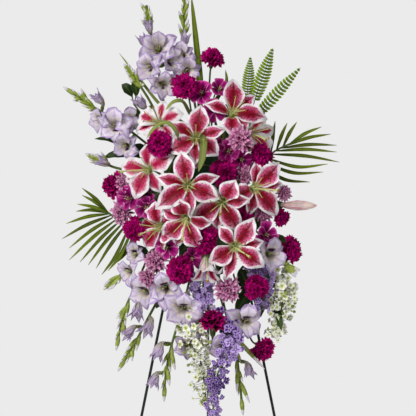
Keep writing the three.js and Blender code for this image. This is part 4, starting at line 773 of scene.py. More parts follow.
@dataclass
class Easel:
    """The wire easel, the tray that hangs on it and the foam."""

    height: float = 1512.0
    foot_half_spread: float = 312.0
    front_foot_out: float = 264.0
    back_foot_out: float = 430.0
    wire_radius: float = 3.5
    wire_sides: int = 32
    bar_half: float = 12.0
    cross_bar_height: float = 1180.0
    tray_height: float = 1258.0
    gap: float = 0.3
    edge: float = 0.7
    edge_steps: int = 3
    eye_steps: int = 48
    eye_sides: int = 16
    overlong: float = 6.0
    smooth_to: float = 40
    plate: float = 3.0
    foam_deep: float = 80.0
    stem_depth: float = 42.0
    tie_radius: float = 0.9
    tie_level: float = 129.0
    tie_half: float = 54.0
    tie_end: float = 3.0
    tie_tail: float = 9.0
    tie_bend: float = 2.0

    @property
    def lean(self) -> float:
        """The angle of the front legs' plane from upright."""
        return math.atan2(self.front_foot_out, self.height)

    @property
    def top_half(self) -> float:
        """Half the distance between the front legs at their top."""
        return self.bar_half + self.gap

    @property
    def slope(self) -> float:
        """How far a front leg runs outward for each millimetre down."""
        return (self.foot_half_spread - self.top_half) / self.height

    def depth_of_legs(self, z: float) -> float:
        """Return how far forward the legs' plane is at a height."""
        return -(self.height - z) * math.tan(self.lean)

    def leaning(self, u: float, v: float, w: float) -> Array:
        """Return a point given across, up along the legs and out toward the viewer."""
        sine, cosine = math.sin(self.lean), math.cos(self.lean)
        y = self.depth_of_legs(self.tray_height) + v * sine - w * cosine
        return np.array([u, y, self.tray_height + v * cosine + w * sine])

    def _rod(self, name: str, start: Array, end: Array, cuts: Sequence[tuple[Place, Place]] = ()) -> Item:
        """Model a round wire between two points, cut flat by planes.

        Args:
            name: The piece's name.
            start: One end in millimetres.
            end: The other end.
            cuts: Planes as a point and the direction of the side that stays.

        Returns:
            The wire.
        """
        way = Vector((end - start).tolist())
        middle = ((start + end) / 2 + FRAME_SHIFT) * MM
        deselect_all()
        bpy.ops.mesh.primitive_cylinder_add(
            vertices=self.wire_sides,
            radius=self.wire_radius * MM,
            depth=way.length * MM,
            location=middle.tolist(),
            rotation=way.to_track_quat("Z", "Y").to_euler(),
        )
        wire = bpy.context.object
        wire.name = name
        bpy.ops.object.transform_apply(location=True, rotation=True, scale=True)
        bpy.ops.object.mode_set(mode="EDIT")
        for point, keep in cuts:
            bpy.ops.mesh.select_all(action="SELECT")
            place = (np.array(point) + FRAME_SHIFT) * MM
            bpy.ops.mesh.bisect(plane_co=place.tolist(), plane_no=keep, use_fill=True, clear_inner=True)
        bpy.ops.object.mode_set(mode="OBJECT")
        rounding = wire.modifiers.new("rounded_ends", "BEVEL")
        rounding.width = self.edge * MM
        rounding.segments = self.edge_steps
        rounding.limit_method = "ANGLE"
        apply_all(wire)
        wire.data.materials.clear()
        wire.data.materials.append(WIRE.build())
        return wire

    def _finish(self, wire: Item, body: str, node: str) -> None:
        """Smooth a wire and put it in its node's place."""
        select_only(wire)
        bpy.ops.object.shade_smooth_by_angle(angle=math.radians(self.smooth_to))
        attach(wire, body)
        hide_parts(node)
        LOG.info("%s: %d faces", wire.name, len(wire.data.polygons))

    def _front_leg(self, side: int, node: str) -> None:
        """Make one front leg, cut flat at the floor and at the top bar."""
        past = self.overlong
        top_at, foot_at = self.height + past, -past
        top_x = side * (self.top_half - past * self.slope)
        foot_x = side * (self.foot_half_spread + past * self.slope)
        top = np.array([top_x, self.depth_of_legs(top_at), top_at])
        foot = np.array([foot_x, self.depth_of_legs(foot_at), foot_at])
        cuts = [((0, 0, 0), (0, 0, 1)), ((side * self.top_half, 0, 0), (side, 0, 0))]
        self._finish(self._rod(f"{node}_fine", top, foot, cuts), "spray", node)

    def _bars(self) -> None:
        """Make the short top bar and the cross bar."""
        level = self.cross_bar_height
        half = self.top_half + (self.height - level) * self.slope - self.wire_radius - self.gap
        for node, end in (
            ("easel_top_bar", np.array([self.bar_half, 0, self.height])),
            ("easel_cross_bar", np.array([half, self.depth_of_legs(level), level])),
        ):
            self._finish(self._rod(f"{node}_fine", end * [-1, 1, 1], end), "spray", node)

    def _back_leg(self) -> None:
        """Make the back leg with the eye that turns on the top bar."""
        hinge = np.array([0.0, 0.0, self.height])
        eye_radius = 2 * self.wire_radius + self.gap
        down = unit([0, self.back_foot_out, -self.height])
        foot = hinge + down * (self.height + self.overlong) / -down[2]
        leg = self._rod("easel_back_leg_fine", hinge + down * eye_radius, foot, [((0, 0, 0), (0, 0, 1))])
        deselect_all()
        bpy.ops.mesh.primitive_torus_add(
            major_segments=self.eye_steps,
            minor_segments=self.eye_sides,
            major_radius=eye_radius * MM,
            minor_radius=self.wire_radius * MM,
            location=((hinge + FRAME_SHIFT) * MM).tolist(),
            rotation=(0, math.pi / 2, 0),
        )
        eye = bpy.context.object
        bpy.ops.object.transform_apply(location=True, rotation=True, scale=True)
        eye.data.materials.append(WIRE.build())
        select_only(leg, eye)
        bpy.ops.object.join()
        self._finish(leg, "back_leg", "easel_back_leg")

    def _tie(self) -> None:
        """Make the wire tie that holds the tray's top to the legs."""
        rear = -(self.wire_radius + self.gap + self.tie_radius)
        front = self.wire_radius + self.gap + self.plate + self.gap + self.tie_radius
        end, half = self.tie_end, self.tie_half
        right = [(end, front + self.tie_tail), (end, front), (half, front), (half, rear)]
        route = right + [(-u, w) for u, w in reversed(right)]
        points = [self.leaning(u, self.tie_level, w) for u, w in route]
        growth = Growth("tray_tie_fine")
        growth.tube(rounded_corners(points, self.tie_bend), self.tie_radius, WIRE)
        growth.make("spray", "wire", "tray_tie")

    def build(self) -> None:
        """Make every piece of the easel, and give the tray and the foam their finishes."""
        self._front_leg(-1, "easel_leg_left")
        self._front_leg(1, "easel_leg_right")
        self._bars()
        self._back_leg()
        self._tie()
        for node, finish in (("foam_tray", TRAY_PLASTIC), ("foam_block", FOAM)):
            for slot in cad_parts[node].material_slots:
                slot.material = finish.build()


@dataclass
class FoamSeats:
    """The grid of stem holes in the foam: each stem takes the nearest one still free."""

    easel: Easel
    pitch: float = 9.5
    columns: int = 9
    rows: int = 19
    pull_across: float = 0.27
    pull_up: float = 0.32
    taken: set[tuple[int, int]] = field(default_factory=set)

    def _place(self, cell: tuple[int, int]) -> Pair:
        """Return a cell's place in the leaning frame."""
        column, row = cell
        return (self.pitch * (column - (self.columns - 1) / 2), self.pitch * (row - (self.rows - 1) / 2))

    def take(self, x: float, z: float) -> Array:
        """Take the seat for a stem that comes from (x, z) and return its bottom."""
        easel = self.easel
        wanted = (x * self.pull_across, (z - easel.tray_height) * self.pull_up)
        cells = [(c, r) for c in range(self.columns) for r in range(self.rows) if (c, r) not in self.taken]
        best = min(cells, key=lambda cell: math.dist(self._place(cell), wanted))
        self.taken.add(best)
        depth = easel.wire_radius + easel.plate + easel.foam_deep - easel.stem_depth
        return easel.leaning(*self._place(best), depth)

    def route(self, places: Sequence[Place], outward: float = 1.1) -> list[Array]:
        """Take a seat a little outward of a stem's first place and return the seat and the places."""
        x, z, _ = places[0]
        return [self.take(x * outward, z), *spots(places)]

    def fork(self, places: Points, share: float) -> Fork:
        """Take a seat for a branched stem and return it with the place where the branches part."""
        middle = np.mean(places, axis=0)
        seat = self.take(middle[0], middle[2])
        return seat, seat + (middle - seat) * share


def behind(base: Array, look: Numbers, run: float = 30, overlap: float = 3) -> list[Array]:
    """Return the last two places of a stem that comes up to a flower's base straight from behind it."""
    return [base - run * unit(look), base + overlap * unit(look)]


def folded(amount: float) -> Lift:
    """Return a lift that folds a leaf along its midrib, its sides forward where the amount is above zero."""
    return lambda u, t, half: amount * np.abs(u) * half


@dataclass
class GrownPiece:
    """A flower or leaf with its own stem in the foam, made in place of the node of its name."""

    name: str
    slot: ClassVar[str]

    def grow(self, growth: Growth, seats: FoamSeats) -> None:
        """Add the piece's sheets and tubes, its stem in a seat of its own."""
        raise NotImplementedError

    def build(self, seats: FoamSeats) -> None:
        """Make the piece."""
        growth = Growth(f"{self.name}_fine")
        self.grow(growth, seats)
        growth.make("spray", self.slot, self.name)


class Whorl(Enum):
    """A lily's whorls of petals: their width, the wave of their margins and how far they sit back."""

    BROAD = (47.0, 0.2, 0.0)
    NARROW = (31.0, 0.14, 6.0)


class LilyForm(Enum):
    """How a lily's petals rise from the throat and run on: (radius, rise) steps, then slopes."""

    OPEN = (((13, 20), (28, 28)), (4, -12, -34))
    HALF_OPEN = (((9, 20), (14, 38)), (66, 30, -50))


@dataclass
class Lily:
    """One lily bloom: six petals, broad and narrow by turns, on a hub, six filaments and a pistil."""

    at: Place
    look: Place
    petals: tuple[Pair, ...]
    pistil: Pair | None = None
    face: PetalFinish = LILY_FACE
    form: LilyForm = LilyForm.OPEN
    first: Whorl = Whorl.BROAD
    fullness: float = 1.0
    hub_start: Pair = (6.0, -31.0)
    base_height: float = -40.0
    filament: Stops = ((3, -30), (6, 0), (24, 36.4))
    anther_half: float = 3.6
    pistil_out: float = 46.0

    petal_outline: Stops = (
        (0, 0.16), (0.2, 0.42), (0.35, 0.84), (0.5, 1.14),
        (0.62, 1.08), (0.74, 0.8), (0.87, 0.42), (1, 0.02),
    )
    petal_form: SheetForm = SheetForm(petal_outline, 21, 11)
    hub: Stops = ((-48, 3.4), (-44, 5.2), (-36, 6.6), (-31, 6.0), (-28, 2.0))
    anther: tuple[float, ...] = (0.4, 1.0, 1.3, 1.3, 1.3, 1.0, 0.4)
    stigma: tuple[float, ...] = (2.6, 3.6, 3.7, 3.0, 0.8)

    @property
    def centre(self) -> Array:
        """The bloom's place."""
        return spot(*self.at)

    def _path(self, reach: float, sink: float) -> Stops:
        """Return a petal's midline stations: up the throat, then out down the slopes."""
        throat, slopes = self.form.value
        stations = [self.hub_start]
        stations += [(radius, self.hub_start[1] + rise - sink) for radius, rise in throat]
        radius, height = stations[-1]
        step = (reach - radius) / sum(math.cos(math.radians(slope)) for slope in slopes)
        for slope in slopes:
            radius += step * math.cos(math.radians(slope))
            height += step * math.sin(math.radians(slope))
            stations.append((radius, height))
        return tuple(stations)

    def _petal(self, growth: Growth, axes: FlowerFrame, angle: float, reach: float, whorl: Whorl) -> None:
        """Add one petal, channelled along its middle and waved at its margins."""
        width, wave, sink = whorl.value
        draw = strewn(angle, reach, *self.at)
        phase, turns = draw.uniform(0, TURN), draw.uniform(2.6, 3.6)

        def lift(u: Array, t: Array, half: Array) -> Array:
            """Return how far the sheet stands off its midline."""
            margin = np.abs(u) ** 3 * np.sin(2 * math.pi * turns * t + phase + 1.3 * np.sign(u))
            return half * (0.16 * np.abs(u) + wave * margin) - 1.5 * np.exp(-((u / 0.14) ** 2)) * (1 - t)

        points = axes.ray(angle, self._path(reach, sink))
        half_width, tint = width / 2 * self.fullness, draw.uniform(0.25, 0.75)
        growth.blade(self.petal_form, points, half_width, axes.z, lift, self.face, tint, LILY_BACK)

    def _filaments(self, growth: Growth, axes: FlowerFrame) -> None:
        """Add the six filaments with an anther across the end of each."""
        for angle in range(30, 360, 60):
            points = axes.ray(angle, self.filament)
            growth.thread(points, np.linspace(1.3, 0.8, 9), FILAMENT)
            tip, turn = points[-1], math.radians(angle * 2)
            across = axes.x * math.cos(turn) + axes.y * math.sin(turn)
            ends = [tip - across * self.anther_half, tip + axes.z, tip + across * self.anther_half]
            growth.thread(ends, self.anther, STIGMA)

    def _pistil(self, growth: Growth, axes: FlowerFrame) -> None:
        """Add the pistil with its thick tip."""
        tip = axes.point(3, -16, 50)
        if self.pistil:
            tip = spot(*self.pistil, self.centre[1] - self.pistil_out)
        points = [axes.point(0, 0, -36), axes.point(1, -3, 2), axes.point(0, 0, 2) * 0.4 + tip * 0.6, tip]
        radii = np.concatenate([np.linspace(2.0, 1.7, 13), [2.2, 3.0, 2.6]])
        growth.thread(points, radii, FILAMENT)
        way = unit(points[-1] - points[-2])
        ends = np.linspace(tip - way * 1.2, tip + way * 2.4, len(self.stigma))
        growth.tube(ends, self.stigma, STIGMA)

    def grow(self, growth: Growth) -> Array:
        """Add the bloom and return the base that its stem reaches."""
        axes = FlowerFrame(self.centre, self.look)
        whorls = [self.first, *(whorl for whorl in Whorl if whorl is not self.first)]
        for k, (angle, reach) in enumerate(self.petals):
            self._petal(growth, axes, angle, reach, whorls[k % 2])
        if self.form is LilyForm.OPEN:
            self._filaments(growth, axes)
        self._pistil(growth, axes)
        growth.bead(axes, self.hub, 1.0, BUD_GREEN)
        return axes.point(0, 0, self.base_height)


@dataclass
class LilyStalk(GrownPiece):
    """A stalk of lilies with its branches, and a bud or a leaf where it has one."""

    share: float
    blooms: tuple[Lily, ...]
    bud: tuple[Place, Place] | None = None
    leaf: tuple[Place, ...] | None = None
    bud_radius: float = 13.0
    leaf_width: float = 19.0
    radius: float = 3.4

    slot: ClassVar[str] = "lily"
    bud_outline: Stops = ((0, 0.3), (0.15, 0.62), (0.45, 1), (0.7, 0.86), (0.9, 0.5), (1, 0.1))
    ridge_form: SheetForm = SheetForm(((0, 0.2), (0.4, 0.55), (0.8, 0.4), (1, 0.04)), 15, 5)
    leaf_form: SheetForm = SheetForm(((0, 0.5), (0.35, 1), (0.7, 0.9), (0.9, 0.5), (1, 0.04)), 20, 7)

    def grow(self, growth: Growth, seats: FoamSeats) -> None:
        """Add the blooms on their branches, then the bud and the leaf."""
        forked = seats.fork([bloom.centre for bloom in self.blooms], self.share)
        for k, bloom in enumerate(self.blooms):
            growth.branch(forked, behind(bloom.grow(growth), bloom.look), self.radius, first=k == 0)
        if self.bud:
            self._bud(growth, forked, *spots(self.bud))
        if self.leaf:
            points, half = spots(self.leaf), self.leaf_width / 2
            growth.blade(self.leaf_form, points, half, TOWARD_VIEWER, folded(0.3), GRASS_BLADE, 0.2)

    def _bud(self, growth: Growth, forked: Fork, start: Array, end: Array) -> None:
        """Add the closed bud with three ridges, on a branch of its own."""
        growth.thread([start, end], self.bud_radius * profile(self.bud_outline, 25), LILY_BUD)
        axes = FlowerFrame(start, end - start)
        for angle in (40, 160, 280):
            side = axes.polar(angle, 1, 0) - start
            ridge = [start + side * 4, (start + end) / 2 + side * (self.bud_radius - 0.6), end + side]
            growth.blade(
                self.ridge_form, ridge, self.bud_radius, side,
                lambda u, t, half: -3.0 * u**2 * (1 - t), LILY_BACK, 0.4,
            )
        way = [start + (start - end) * 0.3, start + (end - start) * 0.12]
        growth.branch(forked, way, self.radius)


@dataclass
class Carnation(GrownPiece):
    """A carnation: crinkled, toothed petals in layers over a green calyx."""

    number: int
    at: Place
    look: Place
    radius: float
    layers: tuple[tuple[int, float, float, float], ...] = (
        (7, 1.02, -0.06, 0.46), (7, 0.9, 0.14, 0.44), (6, 0.76, 0.32, 0.42),
        (6, 0.58, 0.46, 0.4), (5, 0.4, 0.56, 0.36), (5, 0.24, 0.62, 0.32), (3, 0.1, 0.66, 0.28),
    )
    stem_radius: float = 2.4
    stem_from: float = -0.7
    tooth: float = 0.07
    rounding: float = 0.22

    slot: ClassVar[str] = "carnation"
    fan: SheetForm = SheetForm(((0, 0.14), (0.4, 0.5), (0.8, 1.0), (1, 1.05)), 8, 11)
    calyx: Stops = ((-0.94, 0.15), (-0.7, 0.2), (-0.4, 0.22), (-0.15, 0.26))
    calyx_foot: float = -1.04

    def grow(self, growth: Growth, seats: FoamSeats) -> None:
        """Add the layers of petals, the calyx and the stem."""
        axes = FlowerFrame(spot(*self.at), self.look)
        draw = strewn(self.number, *self.at)
        for ring, (count, out, up, width) in enumerate(self.layers):
            for k in range(count):
                angle = 360 * (k + 0.4 * draw.uniform(-1, 1)) / count + GOLDEN_TURN * ring
                edge = (out * draw.uniform(0.8, 1.14), up + draw.uniform(-0.12, 0.14))
                self._petal(growth, axes, angle, edge, width, draw)
        size = self.radius
        heights, radii = zip(*self.calyx)
        curve = axes.axis((self.calyx_foot, *heights), size)
        growth.tube(curve, [self.stem_radius, *(radius * size for radius in radii)], STEM)
        way = behind(axes.point(0, 0, self.stem_from * size), axes.z)
        growth.stem([seats.take(*self.at[:2]), *way], self.stem_radius, from_foam=True)

    def _petal(
        self, growth: Growth, axes: FlowerFrame, angle: float, edge: Pair, width: float, draw: Draw
    ) -> None:
        """Add one fan of a petal, its outer edge crinkled and cut into teeth."""
        size = self.radius
        out, up = edge
        stations = [(0.06, -0.42), (0.3 * out + 0.04, up * 0.55 - 0.06)]
        stations += [(0.72 * out, up - 0.02), (out, up - 0.05 * out)]
        phase, turns = draw.uniform(0, TURN), draw.uniform(1.6, 2.4)

        def lift(u: Array, t: Array, half: Array) -> Array:
            """Return the crinkle, strongest at the outer edge."""
            broad, fine = np.sin(turns * math.pi * u + phase), np.sin(8.3 * u + 2 * phase)
            return size * t**2 * (0.15 * broad + 0.06 * fine)

        radial = unit(axes.polar(angle, 1, 0) - axes.origin)
        points = axes.ray(angle, stations, size)
        grid = self.fan.bend(points, size * width, axes.z - radial * 0.8, lift)
        along = unit(grid[-1] - grid[-2])
        across = np.linspace(-1, 1, self.fan.columns)
        teeth = np.where(np.arange(self.fan.columns) % 2, self.tooth, -self.tooth)
        grid[-1] += along * ((teeth - self.rounding * across**2) * size)[:, None]
        growth.sheet(grid, CARNATION_FACE, draw.uniform(0.1, 0.9))


class HeadKind(Enum):
    """The flower that a spray carries."""

    CHRYSANTHEMUM = "chrysanthemum"
    ALSTROEMERIA = "alstroemeria"


@dataclass
class Spray(GrownPiece):
    """A branched stem with a head on each branch."""

    kind: HeadKind
    share: float
    heads: tuple[tuple[Place, Place, float], ...]
    stem_radius: float = 2.4
    ray_layers: tuple[tuple[int, float, float], ...] = (
        (20, 1.0, -0.14), (18, 0.9, 0.0), (16, 0.74, 0.16),
        (13, 0.54, 0.28), (10, 0.34, 0.36), (6, 0.16, 0.4),
    )

    ray_form: SheetForm = SheetForm(((0, 0.4), (0.5, 0.9), (0.8, 1), (1, 0.25)), 6, 3)
    eye: Stops = ((-0.32, 0.1), (-0.16, 0.26), (0.12, 0.2), (0.24, 0.12), (0.29, 0.02))
    petal_form: SheetForm = SheetForm(((0, 0.15), (0.35, 0.5), (0.7, 1), (0.9, 0.8), (1, 0.1)), 9, 5)
    hub: Stops = ((-1.0, 0.06), (-0.86, 0.14), (-0.7, 0.14), (-0.6, 0.06))

    @property
    def slot(self) -> str:
        """The record's material slot."""
        return self.kind.value

    def grow(self, growth: Growth, seats: FoamSeats) -> None:
        """Add a head to each branch."""
        forked = seats.fork([spot(*at) for at, _, _ in self.heads], self.share)
        daisy = self.kind is HeadKind.CHRYSANTHEMUM
        add, base = (self._daisy, 0.3) if daisy else (self._trumpet, 0.7)
        for k, (at, look, radius) in enumerate(self.heads):
            axes = FlowerFrame(spot(*at), look)
            add(growth, axes, radius, strewn(radius, *axes.origin))
            way = behind(axes.point(0, 0, -radius * base), axes.z)
            growth.branch(forked, way, self.stem_radius, first=k == 0)

    def _daisy(self, growth: Growth, axes: FlowerFrame, radius: float, draw: Draw) -> None:
        """Add a chrysanthemum head: layers of narrow rays round a close centre."""
        for ring, (count, out, up) in enumerate(self.ray_layers):
            for k in range(count):
                angle = 360 * (k + 0.3 * draw.uniform(-1, 1)) / count + 7 * ring
                reach = out * radius * draw.uniform(0.84, 1.24)
                high = (up + draw.uniform(-0.12, 0.2)) * radius
                stations = [(0.08 * radius, -0.1 * radius), (0.55 * reach, high - 0.04 * radius)]
                stations.append((reach, high + 0.06 * radius))
                growth.blade(
                    self.ray_form, axes.ray(angle, stations), radius * 0.105, axes.z,
                    lambda u, t, half: radius * 0.05 * np.abs(u) * (1 - t * 0.5),
                    CHRYSANTHEMUM_RAY, draw.uniform(0.2, 0.8),
                )
        growth.bead(axes, self.eye, radius, CHRYSANTHEMUM_EYE)

    def _trumpet(self, growth: Growth, axes: FlowerFrame, radius: float, draw: Draw) -> None:
        """Add an alstroemeria flower: three broad and three narrow petals."""
        for k in range(6):
            width, tip = ((0.6, 0.02), (0.38, 0.14))[k % 2]
            angle = 90 + 60 * k + draw.uniform(-8, 8)
            size = radius * draw.uniform(0.96, 1.3)
            stations = [(0.04, -0.88), (0.2, -0.5), (0.52, -0.1), (0.84, 0.1), (1.0, tip)]
            growth.blade(
                self.petal_form, axes.ray(angle, stations, size), radius * width, axes.z,
                lambda u, t, half: radius * 0.16 * u**2 * (1.2 - t),
                ALSTROEMERIA_FACE, draw.uniform(0.2, 0.9),
            )
        for angle in (20, 110, 200, 290):
            ends = axes.ray(angle, [(1, -0.6 * radius), (0.16 * radius, 0.2 * radius)])
            growth.thread(ends, [0.6, 0.6, 0.6, 0.9], FILAMENT)
        growth.bead(axes, self.hub, radius, BUD_GREEN)


@dataclass
class Floret:
    """A gladiolus floret: its place, the way it looks, its reach and how far it is open."""

    at: Place
    look: Place
    reach: float
    open: float = 1.0
    on_second: bool = False


@dataclass
class GladiolusSpike(GrownPiece):
    """A gladiolus spike: florets in green sheaths, and buds toward the tip."""

    route: tuple[Place, ...]
    florets: tuple[Floret, ...]
    buds: tuple[tuple[float, float, float, float], ...]
    second: tuple[Place, ...] = ()
    second_buds: tuple[tuple[float, float, float, float], ...] = ()
    radius: float = 3.2
    second_thinner: float = 0.2
    bud_radius: float = 7.0
    fullness: float = 1.16

    slot: ClassVar[str] = "gladiolus"
    opening_form: SheetForm = SheetForm(((0, 0.1), (0.3, 0.4), (0.6, 1.0), (0.8, 0.7), (1, 0.05)), 13, 9)
    open_form: SheetForm = SheetForm(
        ((0, 0.08), (0.35, 0.3), (0.55, 0.8), (0.7, 1.0), (0.84, 0.7), (0.94, 0.3), (1, 0.03)), 13, 9
    )
    sheath_form: SheetForm = SheetForm(((0, 0.3), (0.4, 0.9), (0.75, 0.6), (1, 0.05)), 8, 5)
    bud_outline: Stops = ((0, 0.35), (0.3, 0.82), (0.55, 0.8), (0.82, 0.4), (1, 0.04))
    bud_steps: int = 11
    bud_tip: tuple[float, ...] = (0.1, 0.52, 0.5, 0.34, 0.1)

    def grow(self, growth: Growth, seats: FoamSeats) -> None:
        """Add the spike, its side spike, the florets and the buds."""
        main, branch = seats.route(self.route), spots(self.second)
        growth.stem(main, self.radius, from_foam=True)
        if branch:
            branch.insert(0, nearest_on(main, branch[0]))
            growth.stem(branch, self.radius - self.second_thinner)
        for floret in self.florets:
            self._floret(growth, floret, branch if floret.on_second else main)
        for carrier, buds in ((main, self.buds), (branch, self.second_buds)):
            for t, *place in buds:
                self._bud(growth, straight_runs(carrier, max(0.0, t - 0.06)), spot(*place), self.bud_radius)
            if buds:
                self._small_buds(growth, carrier, min(t for t, *_ in buds))

    def _stations(self, floret: Floret, k: int, draw: Draw) -> tuple[Stops, float]:
        """Return a petal's midline stations and half its width, in shares of its size."""
        broad = k % 2 == 0
        if floret.open < 1:
            tip = 0.16 + 0.6 * floret.open
            return ((0.14, -0.6), (0.3, -0.1), (0.38, 0.34), (tip + 0.2, 0.95 if broad else 0.76)), 0.3
        hood = 0.34 if k == 0 else 0.0
        rise = draw.uniform(-0.1, 0.14)
        throat = ((0.09, -0.7), (0.2, -0.4 + hood / 2), (0.46, -0.06 + hood), (0.78, 0.06 + hood + rise))
        tip = (1.1 - 0.3 * hood, draw.uniform(-0.34, 0.1) + hood + rise)
        return (*throat, tip), 0.48 if broad else 0.36

    def _floret(self, growth: Growth, floret: Floret, carrier: Points) -> None:
        """Add a floret: a tube drawn down to the spike and six ruffled petals."""
        rising = carrier[-1][2] > carrier[1][2]
        reach, opening = floret.reach * (1.0 if rising else self.fullness), floret.open < 1
        look = unit(floret.look)
        if opening:
            look = look * 0.6 + unit(carrier[-1] - carrier[-2])
        axes = FlowerFrame(spot(*floret.at), look)
        root = nearest_on(carrier, axes.point(0, 0, -0.9 * reach))
        draw = strewn(reach, *floret.at)
        form = self.opening_form if opening else self.open_form
        for k in range(6):
            angle = 90 + 60 * k + draw.uniform(-12, 12)
            size = reach * draw.uniform(0.84, 1.16)
            stations, width = self._stations(floret, k, draw)
            phase = draw.uniform(0, TURN)

            def lift(u: Array, t: Array, half: Array, phase: float = phase) -> Array:
                """Return the petal's bowl and the ruffles of its edge."""
                sides, end = np.sin(9 * t + phase + 2.2 * u), np.sin(6 * u + phase)
                ruffle = np.abs(u) ** 2 * sides + 0.5 * t**4 * end
                return half * (0.4 * u**2 * (1 - t) + 0.5 * ruffle * t**2)

            points = [root, *axes.ray(angle, stations, size)]
            mark = 1.0 if k == (3 if rising else 0) and not opening else 0.0
            tint = draw.uniform(0.2, 0.9)
            growth.blade(
                form, points, size * width, axes.z, lift, GLADIOLUS_FACE, tint, GLADIOLUS_BACK, mark
            )
        for k in range(0 if opening else 3):
            foot = axes.polar(120 * k, 1.5, -0.4 * reach)
            tip = axes.polar(60 * k + 60, 0.12 * reach, 0.02 * reach)
            growth.thread([foot, tip], [0.6, 0.6, 0.7, 1.2, 1.0], FILAMENT)
        tip = root + (axes.point(0, 0, -0.5 * reach) - root) * 0.95
        for side in (-axes.x, axes.x):
            self._sheath(growth, root, tip, side, 0.22 * reach, draw.uniform(0.2, 0.8))

    def _sheath(
        self, growth: Growth, root: Array, tip: Array, side: Array, half_width: float, tint: float
    ) -> None:
        """Add a green bract that clasps a floret or bud from one side."""
        middle = (root + tip) / 2 + side * half_width * 0.42
        points = [root + side, middle, tip + side * half_width * 0.3]
        growth.blade(
            self.sheath_form, points, half_width, side, lambda u, t, half: -0.45 * u**2 * half, SHEATH, tint
        )

    def _bud(self, growth: Growth, root: Array, tip: Array, radius: float) -> None:
        """Add a bud in two bracts."""
        side = unit(np.cross(unit(tip - root), TOWARD_VIEWER))
        curve = smooth_curve([root, (root + tip) / 2, tip], self.bud_steps)
        growth.tube(curve, radius * profile(self.bud_outline, self.bud_steps), BUD_GREEN)
        shown = curve[-len(self.bud_tip) :] + TOWARD_VIEWER * 1.6
        growth.tube(shown, radius * np.array(self.bud_tip), BUD_TIP)
        self._sheath(growth, root, root + (tip - root) * 0.8, side, radius * 0.9, 0.7)

    def _small_buds(self, growth: Growth, carrier: Points, start: float) -> None:
        """Add the small buds that stand between the others, on alternate sides up to the tip."""
        for k in range(6):
            t = start - 0.1 + (1.03 - start) * k / 6
            root, ahead = straight_runs(carrier, min(t, 0.98)), straight_runs(carrier, min(1.0, t + 0.04))
            way = unit(ahead - root)
            side = unit(np.cross(way, TOWARD_VIEWER)) * (1 if k % 2 else -1)
            tip = root + way * (44 - 3 * k) + side * (12 - k) + TOWARD_VIEWER * 6
            self._bud(growth, root, tip, self.bud_radius * (0.84 - 0.05 * k))


@dataclass(frozen=True)
class StarTraits:
    """What sets one kind of small-flowered stem apart."""

    slot: str
    fineness: int
    farthest: float
    scale: float
    petal: PetalFinish
    stalk: Finish
    centre: Finish
    spurred: bool


class StarKind(Enum):
    """The small-flowered stems."""

    LARKSPUR = StarTraits("larkspur", 7, 1.4, 0.84, LARKSPUR_PETAL, STEM, BUD_TIP, True)
    LACE = StarTraits("lace", 16, 1.8, 0.94, LACE_PETAL, BUD_GREEN, BUD_GREEN, False)


@dataclass
class StarredStem(GrownPiece):
    """A stem with small flowers all round it."""

    kind: StarKind
    route: tuple[Place, ...]
    florets: int
    start: float
    around: float
    radius: float
    tone: float = 0.0
    stem_radius: float = 2.0
    stalk_radius: float = 0.6

    petal_form: SheetForm = SheetForm(((0, 0.3), (0.6, 1), (0.85, 0.9), (1, 0.3)), 5, 4)
    bud: Stops = ((-0.3, 0.1), (-0.1, 0.36), (0.2, 0.46), (0.5, 0.36), (0.7, 0.06))
    centre: Stops = ((-0.15, 0.08), (0.02, 0.14), (0.12, 0.14), (0.2, 0.04))
    spur: Stops = ((0, 0), (0.2, -0.6), (0.5, -1.0))

    @property
    def slot(self) -> str:
        """The record's material slot."""
        return self.kind.value.slot

    def grow(self, growth: Growth, seats: FoamSeats) -> None:
        """Add the stem and its small flowers; every fourth lace flower is a bud."""
        traits = self.kind.value
        points = seats.route(self.route)
        growth.stem(points, self.stem_radius, from_foam=True)
        count = self.florets * traits.fineness
        draw = strewn(count, *self.route[-1])
        for k in range(count):
            share = (k + draw.uniform(0, 1)) / count
            t = self.start + (1 - self.start) * share
            place = straight_runs(points, t)
            along = unit(straight_runs(points, min(1.0, t + 0.02)) - straight_runs(points, t - 0.02))
            reach = self.around * (1.9 - 0.9 * share) * draw.uniform(0.4, traits.farthest)
            tone = self.tone + 0.3 * math.sin(9.7 * share - 1.8) + draw.uniform(0.0, 0.4)
            angle, rise = GOLDEN_TURN * k + draw.uniform(-30, 30), draw.uniform(0, 0.6)
            out = unit(FlowerFrame(place, along).polar(angle, 1, rise) - place)
            at = place + out * reach
            axes = FlowerFrame(at, out * 0.7 + TOWARD_VIEWER + draw.uniform(-0.4, 0.4, 3))
            size = self.radius * draw.uniform(0.62, 1.04) * (1.15 - 0.4 * share) * traits.scale
            stalk = [place, (place + at) / 2 + along * 3, axes.point(0, 0, -0.1 * size)]
            growth.tube(smooth_curve(stalk, 4), self.stalk_radius, traits.stalk)
            if traits.spurred or k % 4:
                self._star(growth, axes, size, tone, draw)
            else:
                growth.bead(axes, self.bud, size, BUD_GREEN)

    def _star(self, growth: Growth, axes: FlowerFrame, size: float, tone: float, draw: Draw) -> None:
        """Add one small flower of five uneven petals."""
        traits = self.kind.value
        for k in range(5):
            angle = 72 * k + draw.uniform(-16, 16)
            long = size * draw.uniform(0.8, 1.2)
            points = axes.ray(angle, [(0.03, -0.12), (0.5, 0.1), (1.0, draw.uniform(-0.3, 0.4))], long)
            growth.blade(
                self.petal_form, points, long * 0.44, axes.z,
                lambda u, t, half, long=long: long * (0.12 * u**2 + 0.1 * u * t),
                traits.petal, tone + draw.uniform(0.0, 0.35),
            )
        growth.bead(axes, self.centre, size, traits.centre)
        if traits.spurred:
            spur = [axes.point(0, up * size, back * size) for up, back in self.spur]
            growth.thread(spur, np.linspace(0.14, 0.05, 5) * size, BUD_TIP)


